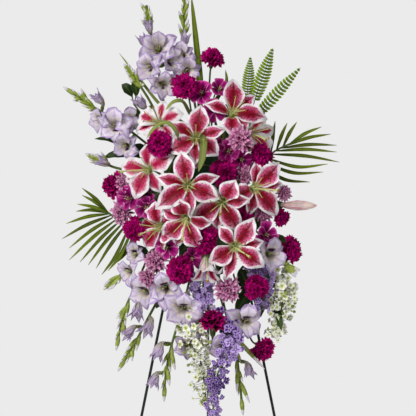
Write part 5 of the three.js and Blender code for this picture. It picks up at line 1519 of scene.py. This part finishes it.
@dataclass
class PalmLeaf(GrownPiece):
    """A palm leaf: narrow folded leaflets along a rib."""

    rib: tuple[Place, ...]
    tips: tuple[Pair, ...]
    spread: tuple[float, ...]
    depth: float
    stagger: float = 7.0
    width: float = 9.5
    rib_radius: float = 2.6

    slot: ClassVar[str] = "palm"
    leaflet: SheetForm = SheetForm(((0, 0.25), (0.2, 0.7), (0.45, 1), (0.8, 0.55), (1, 0.06)), 15, 5)
    face: Place = (0, -1, 0.15)

    def grow(self, growth: Growth, seats: FoamSeats) -> None:
        """Add the rib and the leaflets; those below its middle sag."""
        points = seats.route(self.rib)
        growth.stem(points, self.rib_radius, from_foam=True)
        for k, ((x, z), t) in enumerate(zip(self.tips, self.spread)):
            root = straight_runs(points, t)
            tip = spot(x, z, self.depth + (self.stagger if k % 2 else -self.stagger))
            middle = (root + tip) / 2 + np.array([0, -6, 5 if t > 0.5 else -15])
            tint = 0.2 + 0.15 * (k * 7 % 5)
            way = [root, middle, tip]
            growth.blade(self.leaflet, way, self.width / 2, self.face, folded(0.4), PALM_LEAFLET, tint)


@dataclass
class FernFronds(GrownPiece):
    """The fern fronds on their one stem."""

    name: str = "fern_fronds"
    fork: Place = (104, 1470, -160)
    seat: Pair = (110, 1478)
    fronds: tuple[tuple[Place, Place, float], ...] = (
        ((97, 1520, -180), (106, 1629, -186), 16),
        ((118, 1524, -186), (162, 1651, -192), 19),
        ((134, 1496, -186), (231, 1602, -196), 16),
    )
    pairs: int = 17
    steps: int = 61
    stem_radius: float = 2.4

    slot: ClassVar[str] = "fern"
    leaflet: SheetForm = SheetForm(((0, 0.6), (0.5, 1), (0.8, 0.8), (1, 0.15)), 6, 3)
    face: Place = (0, -1, 0.1)

    def grow(self, growth: Growth, seats: FoamSeats) -> None:
        """Add the stem and the fronds."""
        fork = spot(*self.fork)
        growth.stem([seats.take(*self.seat), fork], self.stem_radius)
        for start, end, half in self.fronds:
            root, tip = spot(*start), spot(*end)
            middle = (root + tip) / 2 + np.array([0, -8, 0])
            curve = smooth_curve([fork, root, middle, tip], self.steps)
            growth.tube(curve, np.linspace(1.5, 0.5, self.steps), STEM)
            bare, leafy = np.linalg.norm(root - fork), np.linalg.norm(tip - root)
            stalk = bare / (bare + leafy)
            for k in range(self.pairs):
                share, pitch = (k + 0.5) / self.pairs, (1 - stalk) / self.pairs
                self._pair(growth, curve, stalk + (0.99 - stalk) * share, share, half, pitch)

    def _pair(
        self, growth: Growth, curve: Array, t: float, share: float, half: float, pitch: float
    ) -> None:
        """Add the two leaflets at one place along a frond, the share being that of its leafy part."""
        at = straight_runs(curve, t)
        k = min(int(t * (len(curve) - 1)), len(curve) - 2)
        along = unit(curve[k + 1] - curve[k])
        length = half * math.sin(math.pi * min(0.93, 0.22 + 0.74 * share))
        spacing = float(np.sum(np.linalg.norm(np.diff(curve, axis=0), axis=1))) * pitch
        for side in (-1, 1):
            out = unit(np.cross(unit(self.face), along)) * side
            tip = at + out * length + along * length * 0.36
            way = [at, at + out * length * 0.55 + along * length * 0.1, tip]
            growth.blade(
                self.leaflet, way, spacing * 0.46, self.face, lambda u, t, half: -0.6 * np.abs(u),
                FERN_LEAFLET, 0.5 + 0.3 * side,
            )


@dataclass
class LeafSpray(GrownPiece):
    """A twig of dark leaves; their near-black colour is partly painted shade for the gaps behind the
    flowers.
    """

    twig: tuple[Place, ...]
    branch: tuple[Place, ...]
    leaves: tuple[tuple[Place, Place, float], ...]
    twig_radius: float = 2.4
    branch_radius: float = 2.0

    slot: ClassVar[str] = "leaf"
    leaf: SheetForm = SheetForm(
        ((0, 0.06), (0.33, 0.12), (0.45, 0.6), (0.6, 1), (0.84, 0.66), (1, 0.03)), 19, 7
    )
    face: Place = (0, -1, 0.2)

    def grow(self, growth: Growth, seats: FoamSeats) -> None:
        """Add the twig, its branch and the leaves, each from the nearer of the two."""
        route = seats.route(self.twig, 1.0)
        growth.stem(route, self.twig_radius, from_foam=True)
        points = route[1:]
        side = [points[0], *spots(self.branch)]
        growth.stem(side, self.branch_radius)
        for k, (start, end, width) in enumerate(self.leaves):
            root, tip = spot(*start), spot(*end)
            starts = [nearest_on(points, root), nearest_on(side, root)]
            twig = min(starts, key=lambda at: math.dist(at, root))
            way = [twig, root, (root + tip) / 2 + np.array([0, -5, 6]), tip]
            growth.blade(
                self.leaf, way, width / 2, self.face,
                lambda u, t, half: half * (0.26 * np.abs(u) + 0.06 * np.sin(14 * t + 3 * u)),
                DARK_LEAF_AND_PAINTED_SHADE, 0.2 + 0.12 * (k * 5 % 6),
            )


@dataclass
class LongBlades(GrownPiece):
    """The long blades and the two bent loops of lily grass, from one stem."""

    name: str = "long_blades"
    fork: Place = (-22, 1444, -191)
    seat: Pair = (-24, 1440)
    foot: Place = (-22, 1440, -190)
    runs: tuple[tuple[tuple[Place, ...], float, PetalFinish], ...] = (
        (((-20, 1560, -196), (-30, 1670, -190), (-42, 1784, -182)), 17, TALL_BLADE),
        (((-110, 1500, -186), (-170, 1572, -186), (-222, 1638, -184)), 8, GRASS_BLADE),
        (((20, 1520, -200), (46, 1566, -200), (44, 1596, -198)), 10, TALL_BLADE),
    )
    loops: tuple[tuple[Place, ...], ...] = (
        (
            (-70, 1410, -262), (-76, 1438, -330), (-98, 1464, -340),
            (-118, 1464, -336), (-138, 1448, -328), (-154, 1424, -316),
        ),
        ((-46, 1490, -214), (-66, 1520, -250), (-88, 1516, -262), (-106, 1496, -264)),
    )
    loop_width: float = 11.0
    stem_radius: float = 2.4

    slot: ClassVar[str] = "blade"
    run_form: SheetForm = SheetForm(((0, 0.5), (0.35, 1), (0.7, 0.8), (0.9, 0.45), (1, 0.05)), 37, 5)
    loop_form: SheetForm = SheetForm(((0, 0.8), (0.6, 1), (0.9, 0.6), (1, 0.1)), 41, 5)
    loop_face: Place = (0, -1, 0.5)

    def grow(self, growth: Growth, seats: FoamSeats) -> None:
        """Add the stem, the blades and the loops."""
        fork = spot(*self.fork)
        growth.stem([seats.take(*self.seat), fork], self.stem_radius)
        for way, width, skin in self.runs:
            points = spots((self.foot, *way))
            growth.blade(self.run_form, points, width / 2, TOWARD_VIEWER, folded(0.25), skin, 0.5)
        for way in self.loops:
            points, half = [fork, *spots(way)], self.loop_width / 2
            growth.blade(self.loop_form, points, half, self.loop_face, folded(-0.2), GRASS_BLADE, 0.8)


LILY_STALKS = (
    LilyStalk(
        "lily_stalk_top", 0.62,
        (
            Lily(
                (-30, 1428, -304), (0, -1, 0.12),
                ((82, 84), (18, 78), (322, 70), (268, 66), (208, 76), (147, 74)),
            ),
            Lily(
                (63, 1493, -284), (0.2, -0.9, 0.32),
                ((84, 96), (38, 84), (352, 92), (302, 66), (262, 62), (159, 72)),
            ),
            Lily(
                (112, 1438, -250), (0.58, -0.8, -0.05),
                ((62, 64), (8, 88), (322, 86), (258, 50), (190, 40), (125, 44)), face=LILY_PALE,
            ),
        ),
        leaf=((-24, 1430, -262), (-12, 1420, -338), (-14, 1380, -350), (-24, 1342, -346)),
    ),
    LilyStalk(
        "lily_stalk_left", 0.66,
        (
            Lily(
                (-127, 1468, -250), (-0.3, -0.85, 0.25),
                ((82, 60), (20, 68), (320, 62), (262, 66), (200, 66), (160, 58)), face=LILY_PALE,
                first=Whorl.NARROW,
            ),
            Lily(
                (-155, 1349, -285), (-0.28, -0.95, 0.05),
                ((175, 70), (94, 64), (26, 76), (300, 68), (247, 82), (207, 66)), pistil=(-222, 1341),
                face=LILY_PINK,
            ),
            Lily(
                (-129, 1202, -290), (-0.6, -0.8, -0.12),
                ((228, 72), (170, 60), (95, 64), (30, 52), (330, 50), (276, 60)), pistil=(-172, 1184),
            ),
        ),
    ),
    LilyStalk(
        "lily_stalk_middle", 0.66,
        (
            Lily(
                (-51, 1309, -345), (-0.05, -1, 0.04),
                ((102, 86), (16, 80), (336, 84), (274, 81), (216, 99), (165, 83)),
            ),
            Lily(
                (33, 1263, -322), (-0.12, -0.95, -0.2),
                ((211, 92), (257, 72), (301, 88), (6, 70), (57, 66), (135, 68)),
            ),
            Lily(
                (-58, 1218, -338), (-0.2, -0.88, -0.42),
                ((217, 82), (246, 90), (288, 88), (350, 66), (100, 56), (155, 66)), pistil=(-65, 1168),
            ),
        ),
    ),
    LilyStalk(
        "lily_stalk_right", 0.6,
        (
            Lily(
                (122, 1302, -288), (0.32, -0.92, 0),
                ((44, 92), (87, 66), (203, 66), (256, 72), (309, 94), (8, 76)), pistil=(175, 1294),
            ),
        ),
        bud=((182, 1258, -232), (272, 1257, -240)),
    ),
    LilyStalk(
        "lily_stalk_low", 0.6,
        (
            Lily(
                (69, 1153, -318), (0.05, -1, -0.08),
                ((211, 75), (254, 91), (325, 88), (10, 72), (57, 85), (128, 66)), pistil=(105, 1128),
            ),
            Lily(
                (-5, 1104, -292), (0.04, -0.5, -0.87),
                ((20, 42), (80, 40), (140, 42), (200, 44), (265, 42), (325, 44)), pistil=(-1, 1068),
                face=LILY_PALE, form=LilyForm.HALF_OPEN, fullness=0.66, first=Whorl.NARROW,
            ),
        ),
    ),
)

CARNATION_PLACES = (
    ((10, 1626, -185), (0.1, -0.62, 0.78), 31), ((-56, 1555, -245), (-0.1, -0.95, 0.25), 35),
    ((-120, 1413, -300), (-0.15, -1, 0.1), 35), ((43, 1338, -280), (0.05, -1, 0.1), 35),
    ((132, 1383, -262), (0.3, -0.95, 0.1), 31), ((-237, 1308, -212), (-0.92, -0.38, 0.1), 33),
    ((-186, 1198, -258), (-0.45, -0.9, -0.1), 31), ((-9, 1171, -300), (0, -1, -0.1), 35),
    ((-70, 1094, -302), (-0.1, -0.95, -0.3), 36), ((205, 1144, -212), (0.65, -0.75, -0.05), 35),
    ((122, 1055, -268), (0.12, -0.95, -0.25), 33), ((12, 966, -262), (0, -0.3, 0.95), 39),
    ((138, 898, -218), (0.5, -0.7, -0.35), 33), ((85, 1233, -272), (0.1, -1, 0), 27),
    ((184, 1226, -238), (0.65, -0.7, -0.3), 24),
)

MUM, LILY_OF_PERU = (HeadKind.CHRYSANTHEMUM, HeadKind.ALSTROEMERIA)

SPRAYS = (
    Spray(
        "chrysanthemum_spray_top", MUM, 0.62,
        (
            ((80, 1424, -304), (-0.2, -0.95, 0.1), 32), ((92, 1333, -268), (0.2, -1, 0), 24),
            ((-31, 1371, -256), (0, -1, 0.1), 20),
        ),
    ),
    Spray(
        "chrysanthemum_spray_left", MUM, 0.55,
        (((-210, 1314, -238), (-0.35, -0.95, 0), 26), ((-216, 1240, -240), (-0.4, -0.9, -0.1), 29)),
    ),
    Spray(
        "chrysanthemum_spray_right", MUM, 0.55,
        (((140, 1240, -254), (0.3, -0.95, -0.1), 25), ((190, 1288, -238), (0.5, -0.85, 0), 21)),
    ),
    Spray(
        "chrysanthemum_spray_low_left", MUM, 0.55,
        (((-131, 1118, -272), (-0.3, -0.95, -0.15), 30), ((-152, 1076, -276), (-0.4, -0.85, -0.3), 24)),
    ),
    Spray("chrysanthemum_spray_low", MUM, 0.6, (((49, 1048, -284), (0, -1, -0.2), 33),)),
    Spray(
        "alstroemeria_top", LILY_OF_PERU, 0.62,
        (
            ((-16, 1541, -232), (-0.2, -0.9, 0.2), 27), ((30, 1551, -225), (0.3, -0.8, 0.4), 22),
            ((14, 1496, -248), (0, -1, 0), 26),
        ),
    ),
    Spray(
        "alstroemeria_middle", LILY_OF_PERU, 0.72,
        (
            ((14, 1407, -262), (-0.1, -1, 0.1), 25), ((52, 1394, -272), (0.1, -1, 0), 26),
            ((84, 1372, -262), (0.2, -1, -0.1), 24),
        ),
    ),
    Spray(
        "alstroemeria_left", LILY_OF_PERU, 0.62,
        (
            ((-202, 1276, -252), (-0.5, -0.9, 0.1), 28), ((-163, 1288, -262), (-0.2, -1, 0), 25),
            ((-154, 1252, -272), (-0.2, -1, -0.1), 24),
        ),
    ),
    Spray("alstroemeria_right", LILY_OF_PERU, 0.6, (((147, 1184, -262), (0.3, -0.95, 0), 27),)),
    Spray(
        "alstroemeria_low", LILY_OF_PERU, 0.6,
        (((-104, 1152, -284), (-0.2, -0.95, -0.1), 25), ((-40, 1124, -285), (0, -1, -0.2), 24)),
    ),
)

GLADIOLUS_SPIKES = (
    GladiolusSpike(
        "gladiolus_tall_left",
        ((-100, 1471, -150), (-122, 1584, -165), (-142, 1684, -176), (-154, 1758, -180)),
        (
            Floret((-124, 1651, -212), (-0.05, -1, 0.1), 46),
            Floret((-162, 1668, -196), (-0.7, -0.6, 0.3), 24, 0.3),
            Floret((-146, 1702, -196), (-0.1, -0.8, 0.6), 24, 0.3),
            Floret((-88, 1618, -200), (0.6, -0.8, 0.1), 36),
            Floret((-148, 1604, -206), (-0.45, -0.9, -0.2), 36),
            Floret((-112, 1560, -212), (0.2, -1, -0.2), 38),
        ),
        ((0.99, -170, 1764, -186), (0.93, -140, 1736, -194), (0.86, -168, 1722, -190)),
    ),
    GladiolusSpike(
        "gladiolus_tall_right", ((-26, 1471, -128), (-46, 1584, -146), (-60, 1681, -160), (-58, 1790, -165)),
        (
            Floret((-58, 1668, -190), (0.15, -0.9, 0.3), 26, 0.4),
            Floret((-66, 1634, -196), (-0.15, -1, 0), 34), Floret((-52, 1594, -202), (0.1, -1, -0.15), 33),
        ),
        ((0.99, -66, 1804, -172), (0.94, -48, 1772, -176), (0.88, -74, 1744, -178), (0.82, -46, 1712, -180)),
    ),
    GladiolusSpike(
        "gladiolus_upper_left_bud",
        ((-110, 1451, -165), (-150, 1526, -185), (-178, 1568, -188), (-200, 1600, -188)),
        (Floret((-164, 1510, -212), (-0.5, -0.8, 0.25), 27, 0.5),),
        (
            (0.99, -212, 1612, -192), (0.92, -186, 1596, -200), (0.84, -194, 1566, -200),
            (0.74, -160, 1560, -205),
        ),
    ),
    GladiolusSpike(
        "gladiolus_left", ((-165, 1421, -170), (-228, 1468, -188), (-290, 1506, -192), (-346, 1544, -190)),
        (
            Floret((-233, 1456, -228), (-0.2, -1, 0), 43),
            Floret((-274, 1474, -216), (-0.6, -0.8, -0.1), 30),
            Floret((-272, 1522, -206), (-0.2, -0.6, 0.8), 26, 0.4),
            Floret((-196, 1468, -216), (0.3, -0.9, 0.2), 32),
            Floret((-208, 1404, -220), (-0.35, -0.9, -0.3), 34),
        ),
        (
            (0.99, -362, 1554, -194), (0.93, -338, 1520, -202), (0.86, -318, 1550, -204),
            (0.78, -300, 1494, -206),
        ),
    ),
    GladiolusSpike(
        "gladiolus_left_small", ((-165, 1338, -185), (-238, 1354, -192), (-290, 1378, -190)),
        (Floret((-262, 1366, -212), (-0.7, -0.7, 0.2), 22, 0.3),),
        ((0.99, -308, 1388, -194), (0.9, -296, 1366, -200), (0.8, -268, 1392, -204)),
    ),
    GladiolusSpike(
        "gladiolus_low_left_pair",
        ((-118, 1140, -190), (-182, 1118, -212), (-214, 1088, -222), (-250, 1056, -222)),
        (
            Floret((-202, 1092, -244), (-0.6, -0.8, -0.1), 29),
            Floret((-184, 1136, -240), (-0.3, -0.9, 0.2), 24),
            Floret((-162, 1040, -252), (-0.45, -0.9, -0.1), 36, on_second=True),
            Floret((-176, 998, -248), (0.1, -0.9, -0.3), 27, 0.5, on_second=True),
        ),
        ((0.99, -262, 1046, -226), (0.86, -224, 1062, -236)),
        second=((-150, 1128, -204), (-180, 1060, -222), (-208, 996, -228), (-228, 908, -222)),
        second_buds=((0.99, -230, 894, -226), (0.88, -206, 926, -234), (0.76, -226, 956, -236)),
    ),
    GladiolusSpike(
        "gladiolus_low_left", ((-98, 1070, -200), (-142, 990, -222), (-180, 918, -228), (-216, 858, -224)),
        (
            Floret((-108, 1050, -270), (-0.1, -1, -0.1), 40),
            Floret((-194, 944, -244), (-0.7, -0.7, -0.1), 24, 0.5),
            Floret((-148, 956, -254), (0.1, -0.9, -0.4), 28, 0.6),
        ),
        ((0.99, -226, 842, -228), (0.88, -190, 868, -236), (0.78, -204, 894, -238)),
    ),
    GladiolusSpike(
        "gladiolus_low_middle", ((-56, 1030, -205), (-76, 960, -222), (-98, 880, -228), (-112, 782, -224)),
        (
            Floret((-62, 998, -278), (0, -1, -0.1), 43),
            Floret((-122, 896, -250), (-0.5, -0.8, -0.3), 27, 0.5),
            Floret((-48, 910, -256), (0.3, -0.9, -0.3), 34),
            Floret((-132, 824, -246), (-0.5, -0.8, -0.3), 23, 0.4),
        ),
        ((0.99, -110, 766, -228), (0.88, -96, 806, -236), (0.76, -82, 846, -240)),
    ),
    GladiolusSpike(
        "gladiolus_low_right", ((44, 990, -200), (66, 920, -222), (76, 850, -228), (86, 748, -224)),
        (
            Floret((96, 966, -258), (0.2, -1, 0), 40), Floret((38, 900, -260), (-0.2, -1, -0.2), 33),
            Floret((100, 850, -248), (0.4, -0.8, -0.4), 24, 0.5),
        ),
        ((0.99, 88, 732, -228), (0.88, 104, 764, -236), (0.78, 72, 790, -240), (0.5, 142, 848, -236)),
    ),
    GladiolusSpike(
        "gladiolus_right", ((118, 1146, -205), (158, 1132, -226), (186, 1112, -232), (210, 1096, -232)),
        (Floret((158, 1136, -256), (0.35, -0.9, 0.05), 34),),
        ((0.98, 224, 1086, -236), (0.86, 206, 1120, -244)),
    ),
)

STARRED_STEMS = (
    StarredStem(
        "larkspur_hanging", StarKind.LARKSPUR,
        (
            (30, 1030, -205), (50, 966, -250), (62, 906, -284), (28, 846, -284), (16, 800, -262),
            (12, 728, -244),
        ),
        13, 0.26, 14, 15, 0.15,
    ),
    StarredStem(
        "larkspur_right", StarKind.LARKSPUR, ((110, 1120, -210), (138, 1072, -236), (138, 1000, -236)), 8,
        0.4, 15, 14, 0.35,
    ),
    StarredStem(
        "larkspur_left", StarKind.LARKSPUR, ((-14, 1110, -215), (-12, 1060, -262), (-8, 996, -262)), 8, 0.4,
        17, 14, 0.75,
    ),
    StarredStem(
        "lace_flower_right", StarKind.LACE,
        ((140, 1060, -200), (190, 1064, -216), (186, 1012, -224), (166, 930, -222)), 9, 0.42, 14, 11, 0.3,
    ),
    StarredStem(
        "lace_flower_low", StarKind.LACE,
        ((-22, 1040, -205), (-32, 976, -250), (-36, 918, -266), (-14, 850, -248), (-5, 764, -226)), 12, 0.22,
        17, 11, 0.3,
    ),
)

PALMS = (
    PalmLeaf(
        "palm_leaf_right", ((128, 1352, -160), (146, 1376, -172), (172, 1396, -180), (206, 1412, -184)),
        (
            (255, 1316), (288, 1341), (300, 1361), (328, 1366), (322, 1391), (322, 1408), (307, 1436),
            (284, 1454), (222, 1466), (198, 1464), (168, 1468), (140, 1458),
        ),
        (0.3, 0.4, 0.5, 0.62, 0.72, 0.82, 0.92, 0.98, 0.86, 0.74, 0.6, 0.46), -184,
    ),
    PalmLeaf(
        "palm_leaf_left", ((-165, 1186, -170), (-200, 1206, -184), (-232, 1226, -190), (-250, 1240, -192)),
        (
            (-315, 1301), (-315, 1283), (-327, 1261), (-330, 1243), (-355, 1212), (-365, 1174), (-347, 1151),
            (-347, 1121), (-320, 1116), (-300, 1108), (-280, 1100), (-266, 1084), (-250, 1094), (-232, 1112),
        ),
        (0.99, 0.96, 0.92, 0.98, 0.94, 0.88, 0.8, 0.72, 0.66, 0.6, 0.54, 0.48, 0.42, 0.36), -186,
    ),
)

LEAF_SPRAYS = (
    LeafSpray(
        "leaf_spray_left", ((-70, 1330, -112), (-110, 1400, -136), (-150, 1462, -156), (-186, 1512, -172)),
        ((-92, 1306, -92), (-94, 1200, -98), (-92, 1110, -124), (-84, 1030, -150)),
        (
            ((-190, 1530, -172), (-216, 1560, -176), 26), ((-180, 1530, -178), (-182, 1574, -184), 24),
            ((-166, 1476, -168), (-200, 1490, -180), 20), ((-214, 1412, -172), (-284, 1424, -180), 14),
            ((-200, 1384, -166), (-262, 1376, -172), 20), ((-150, 1330, -120), (-236, 1322, -128), 42),
            ((-130, 1290, -100), (-222, 1256, -104), 44), ((-80, 1440, -110), (-120, 1510, -112), 44),
            ((-140, 1390, -118), (-215, 1385, -120), 40), ((-100, 1400, -110), (-36, 1460, -104), 42),
            ((-90, 1220, -110), (-160, 1180, -112), 44), ((-92, 1150, -120), (-160, 1110, -124), 44),
            ((-88, 1110, -130), (-30, 1060, -134), 42), ((-84, 1060, -144), (-130, 1000, -148), 40),
            ((-98, 1330, -120), (-82, 1394, -124), 42), ((-142, 1258, -108), (-112, 1306, -112), 40),
            ((-130, 1250, -110), (-184, 1202, -118), 38), ((-140, 1120, -128), (-204, 1152, -140), 36),
        ),
    ),
    LeafSpray(
        "leaf_spray_right", ((70, 1222, -100), (104, 1130, -134), (138, 1076, -160), (166, 1024, -180)),
        ((72, 1300, -98), (78, 1390, -92), (84, 1470, -92)),
        (
            ((160, 1052, -204), (194, 1056, -244), 13), ((168, 1004, -214), (184, 944, -252), 20),
            ((126, 1160, -116), (206, 1166, -122), 42), ((110, 1226, -104), (196, 1262, -110), 44),
            ((84, 1100, -128), (104, 1016, -136), 42), ((76, 1340, -96), (134, 1345, -96), 40),
            ((80, 1400, -92), (16, 1440, -90), 44), ((82, 1410, -94), (150, 1400, -96), 44),
            ((84, 1450, -92), (30, 1510, -92), 42), ((84, 1474, -94), (124, 1440, -96), 40),
            ((80, 1286, -100), (88, 1350, -104), 40), ((106, 1190, -110), (134, 1248, -116), 40),
            ((76, 1130, -116), (14, 1080, -128), 40), ((126, 1112, -146), (172, 1064, -158), 36),
            ((112, 1050, -148), (68, 984, -160), 38), ((128, 1050, -156), (132, 978, -168), 36),
        ),
    ),
)


@dataclass
class Studio:
    """A round pale floor with soft light, and the camera at the photograph's place."""

    floor_radius: float = 4.0
    floor_sides: int = 128
    paint: tuple[Colour, Colour] = ((248, 248, 249), (244, 244, 246))
    paint_noise: float = 0.7
    paint_roughness: float = 0.9
    lit_place: Place = (0.02, -0.2, 1.2)
    lights: tuple[tuple[str, Place, float, float], ...] = (
        ("key", (-2.3, -3.4, 3.3), 2.0, 162.0),
        ("fill", (2.8, -3.0, 1.7), 2.6, 24.0),
        ("rear", (1.4, 3.6, 2.8), 2.6, 70.0),
    )
    world_strength: float = 0.18
    seen_strength: float = 0.83

    def stage(self) -> None:
        """Make the floor."""
        deselect_all()
        bpy.ops.mesh.primitive_circle_add(
            vertices=self.floor_sides, radius=self.floor_radius, fill_type="NGON"
        )
        floor = bpy.context.object
        floor.name = "studio_floor"
        g = Graph("pale_paint")
        colour = g.mix(g.noise(self.paint_noise), *(from_screen(*shade) for shade in self.paint))
        floor.data.materials.append(g.finish(colour, self.paint_roughness))

    def light(self) -> None:
        """Light the piece softly from the front left, with a fill on the right and from the back."""
        for name, place, size, power in self.lights:
            aim = (Vector(self.lit_place) - Vector(place)).to_track_quat("-Z", "Y")
            bpy.ops.object.light_add(type="AREA", location=place, rotation=aim.to_euler())
            lamp = bpy.context.object
            lamp.name = f"{name}_light"
            lamp.data.size = size
            lamp.data.energy = power
            lamp.visible_camera = False

    def sky(self) -> None:
        """Make a pale sky that the camera sees brighter than it lights."""
        world = bpy.data.worlds.new("soft_sky")
        world.use_nodes = True
        nodes, links = world.node_tree.nodes, world.node_tree.links
        light, seen = nodes["Background"], nodes.new("ShaderNodeBackground")
        for background, strength in ((light, self.world_strength), (seen, self.seen_strength)):
            background.inputs["Color"].default_value = (1.0, 1.0, 1.0, 1.0)
            background.inputs["Strength"].default_value = strength
        share, path = nodes.new("ShaderNodeMixShader"), nodes.new("ShaderNodeLightPath")
        links.new(path.outputs["Is Camera Ray"], share.inputs["Fac"])
        links.new(light.outputs["Background"], share.inputs[1])
        links.new(seen.outputs["Background"], share.inputs[2])
        links.new(share.outputs["Shader"], nodes["World Output"].inputs["Surface"])
        bpy.context.scene.world = world

    def look(self) -> None:
        """Set the camera level with the flowers, framed as the photograph is."""
        place = (np.array([0.0, FACE_PLANE - EYE_DISTANCE, EYE_HEIGHT]) + FRAME_SHIFT) * MM
        bpy.ops.object.camera_add(location=place.tolist(), rotation=(math.pi / 2, 0, 0))
        camera = bpy.context.object
        camera.data.angle = 2 * math.atan(PICTURE_SIDE / 2 / EYE_DISTANCE)
        bpy.context.scene.camera = camera
        bpy.context.scene.view_settings.view_transform = "Standard"


def main() -> None:
    """Build every piece in order, then the studio."""
    logging.basicConfig(level=logging.INFO, format="%(message)s")
    easel = Easel()
    easel.build()
    seats = FoamSeats(easel)
    carnations = [Carnation(f"carnation_{k:02d}", k, *place) for k, place in enumerate(CARNATION_PLACES, 1)]
    for piece in (
        *LILY_STALKS, *carnations, *SPRAYS, *GLADIOLUS_SPIKES, *STARRED_STEMS, *PALMS,
        FernFronds(), *LEAF_SPRAYS, LongBlades(),
    ):
        piece.build(seats)
    studio = Studio()
    studio.stage()
    studio.light()
    studio.sky()
    studio.look()
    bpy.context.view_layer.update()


if __name__ == "__main__":
    main()
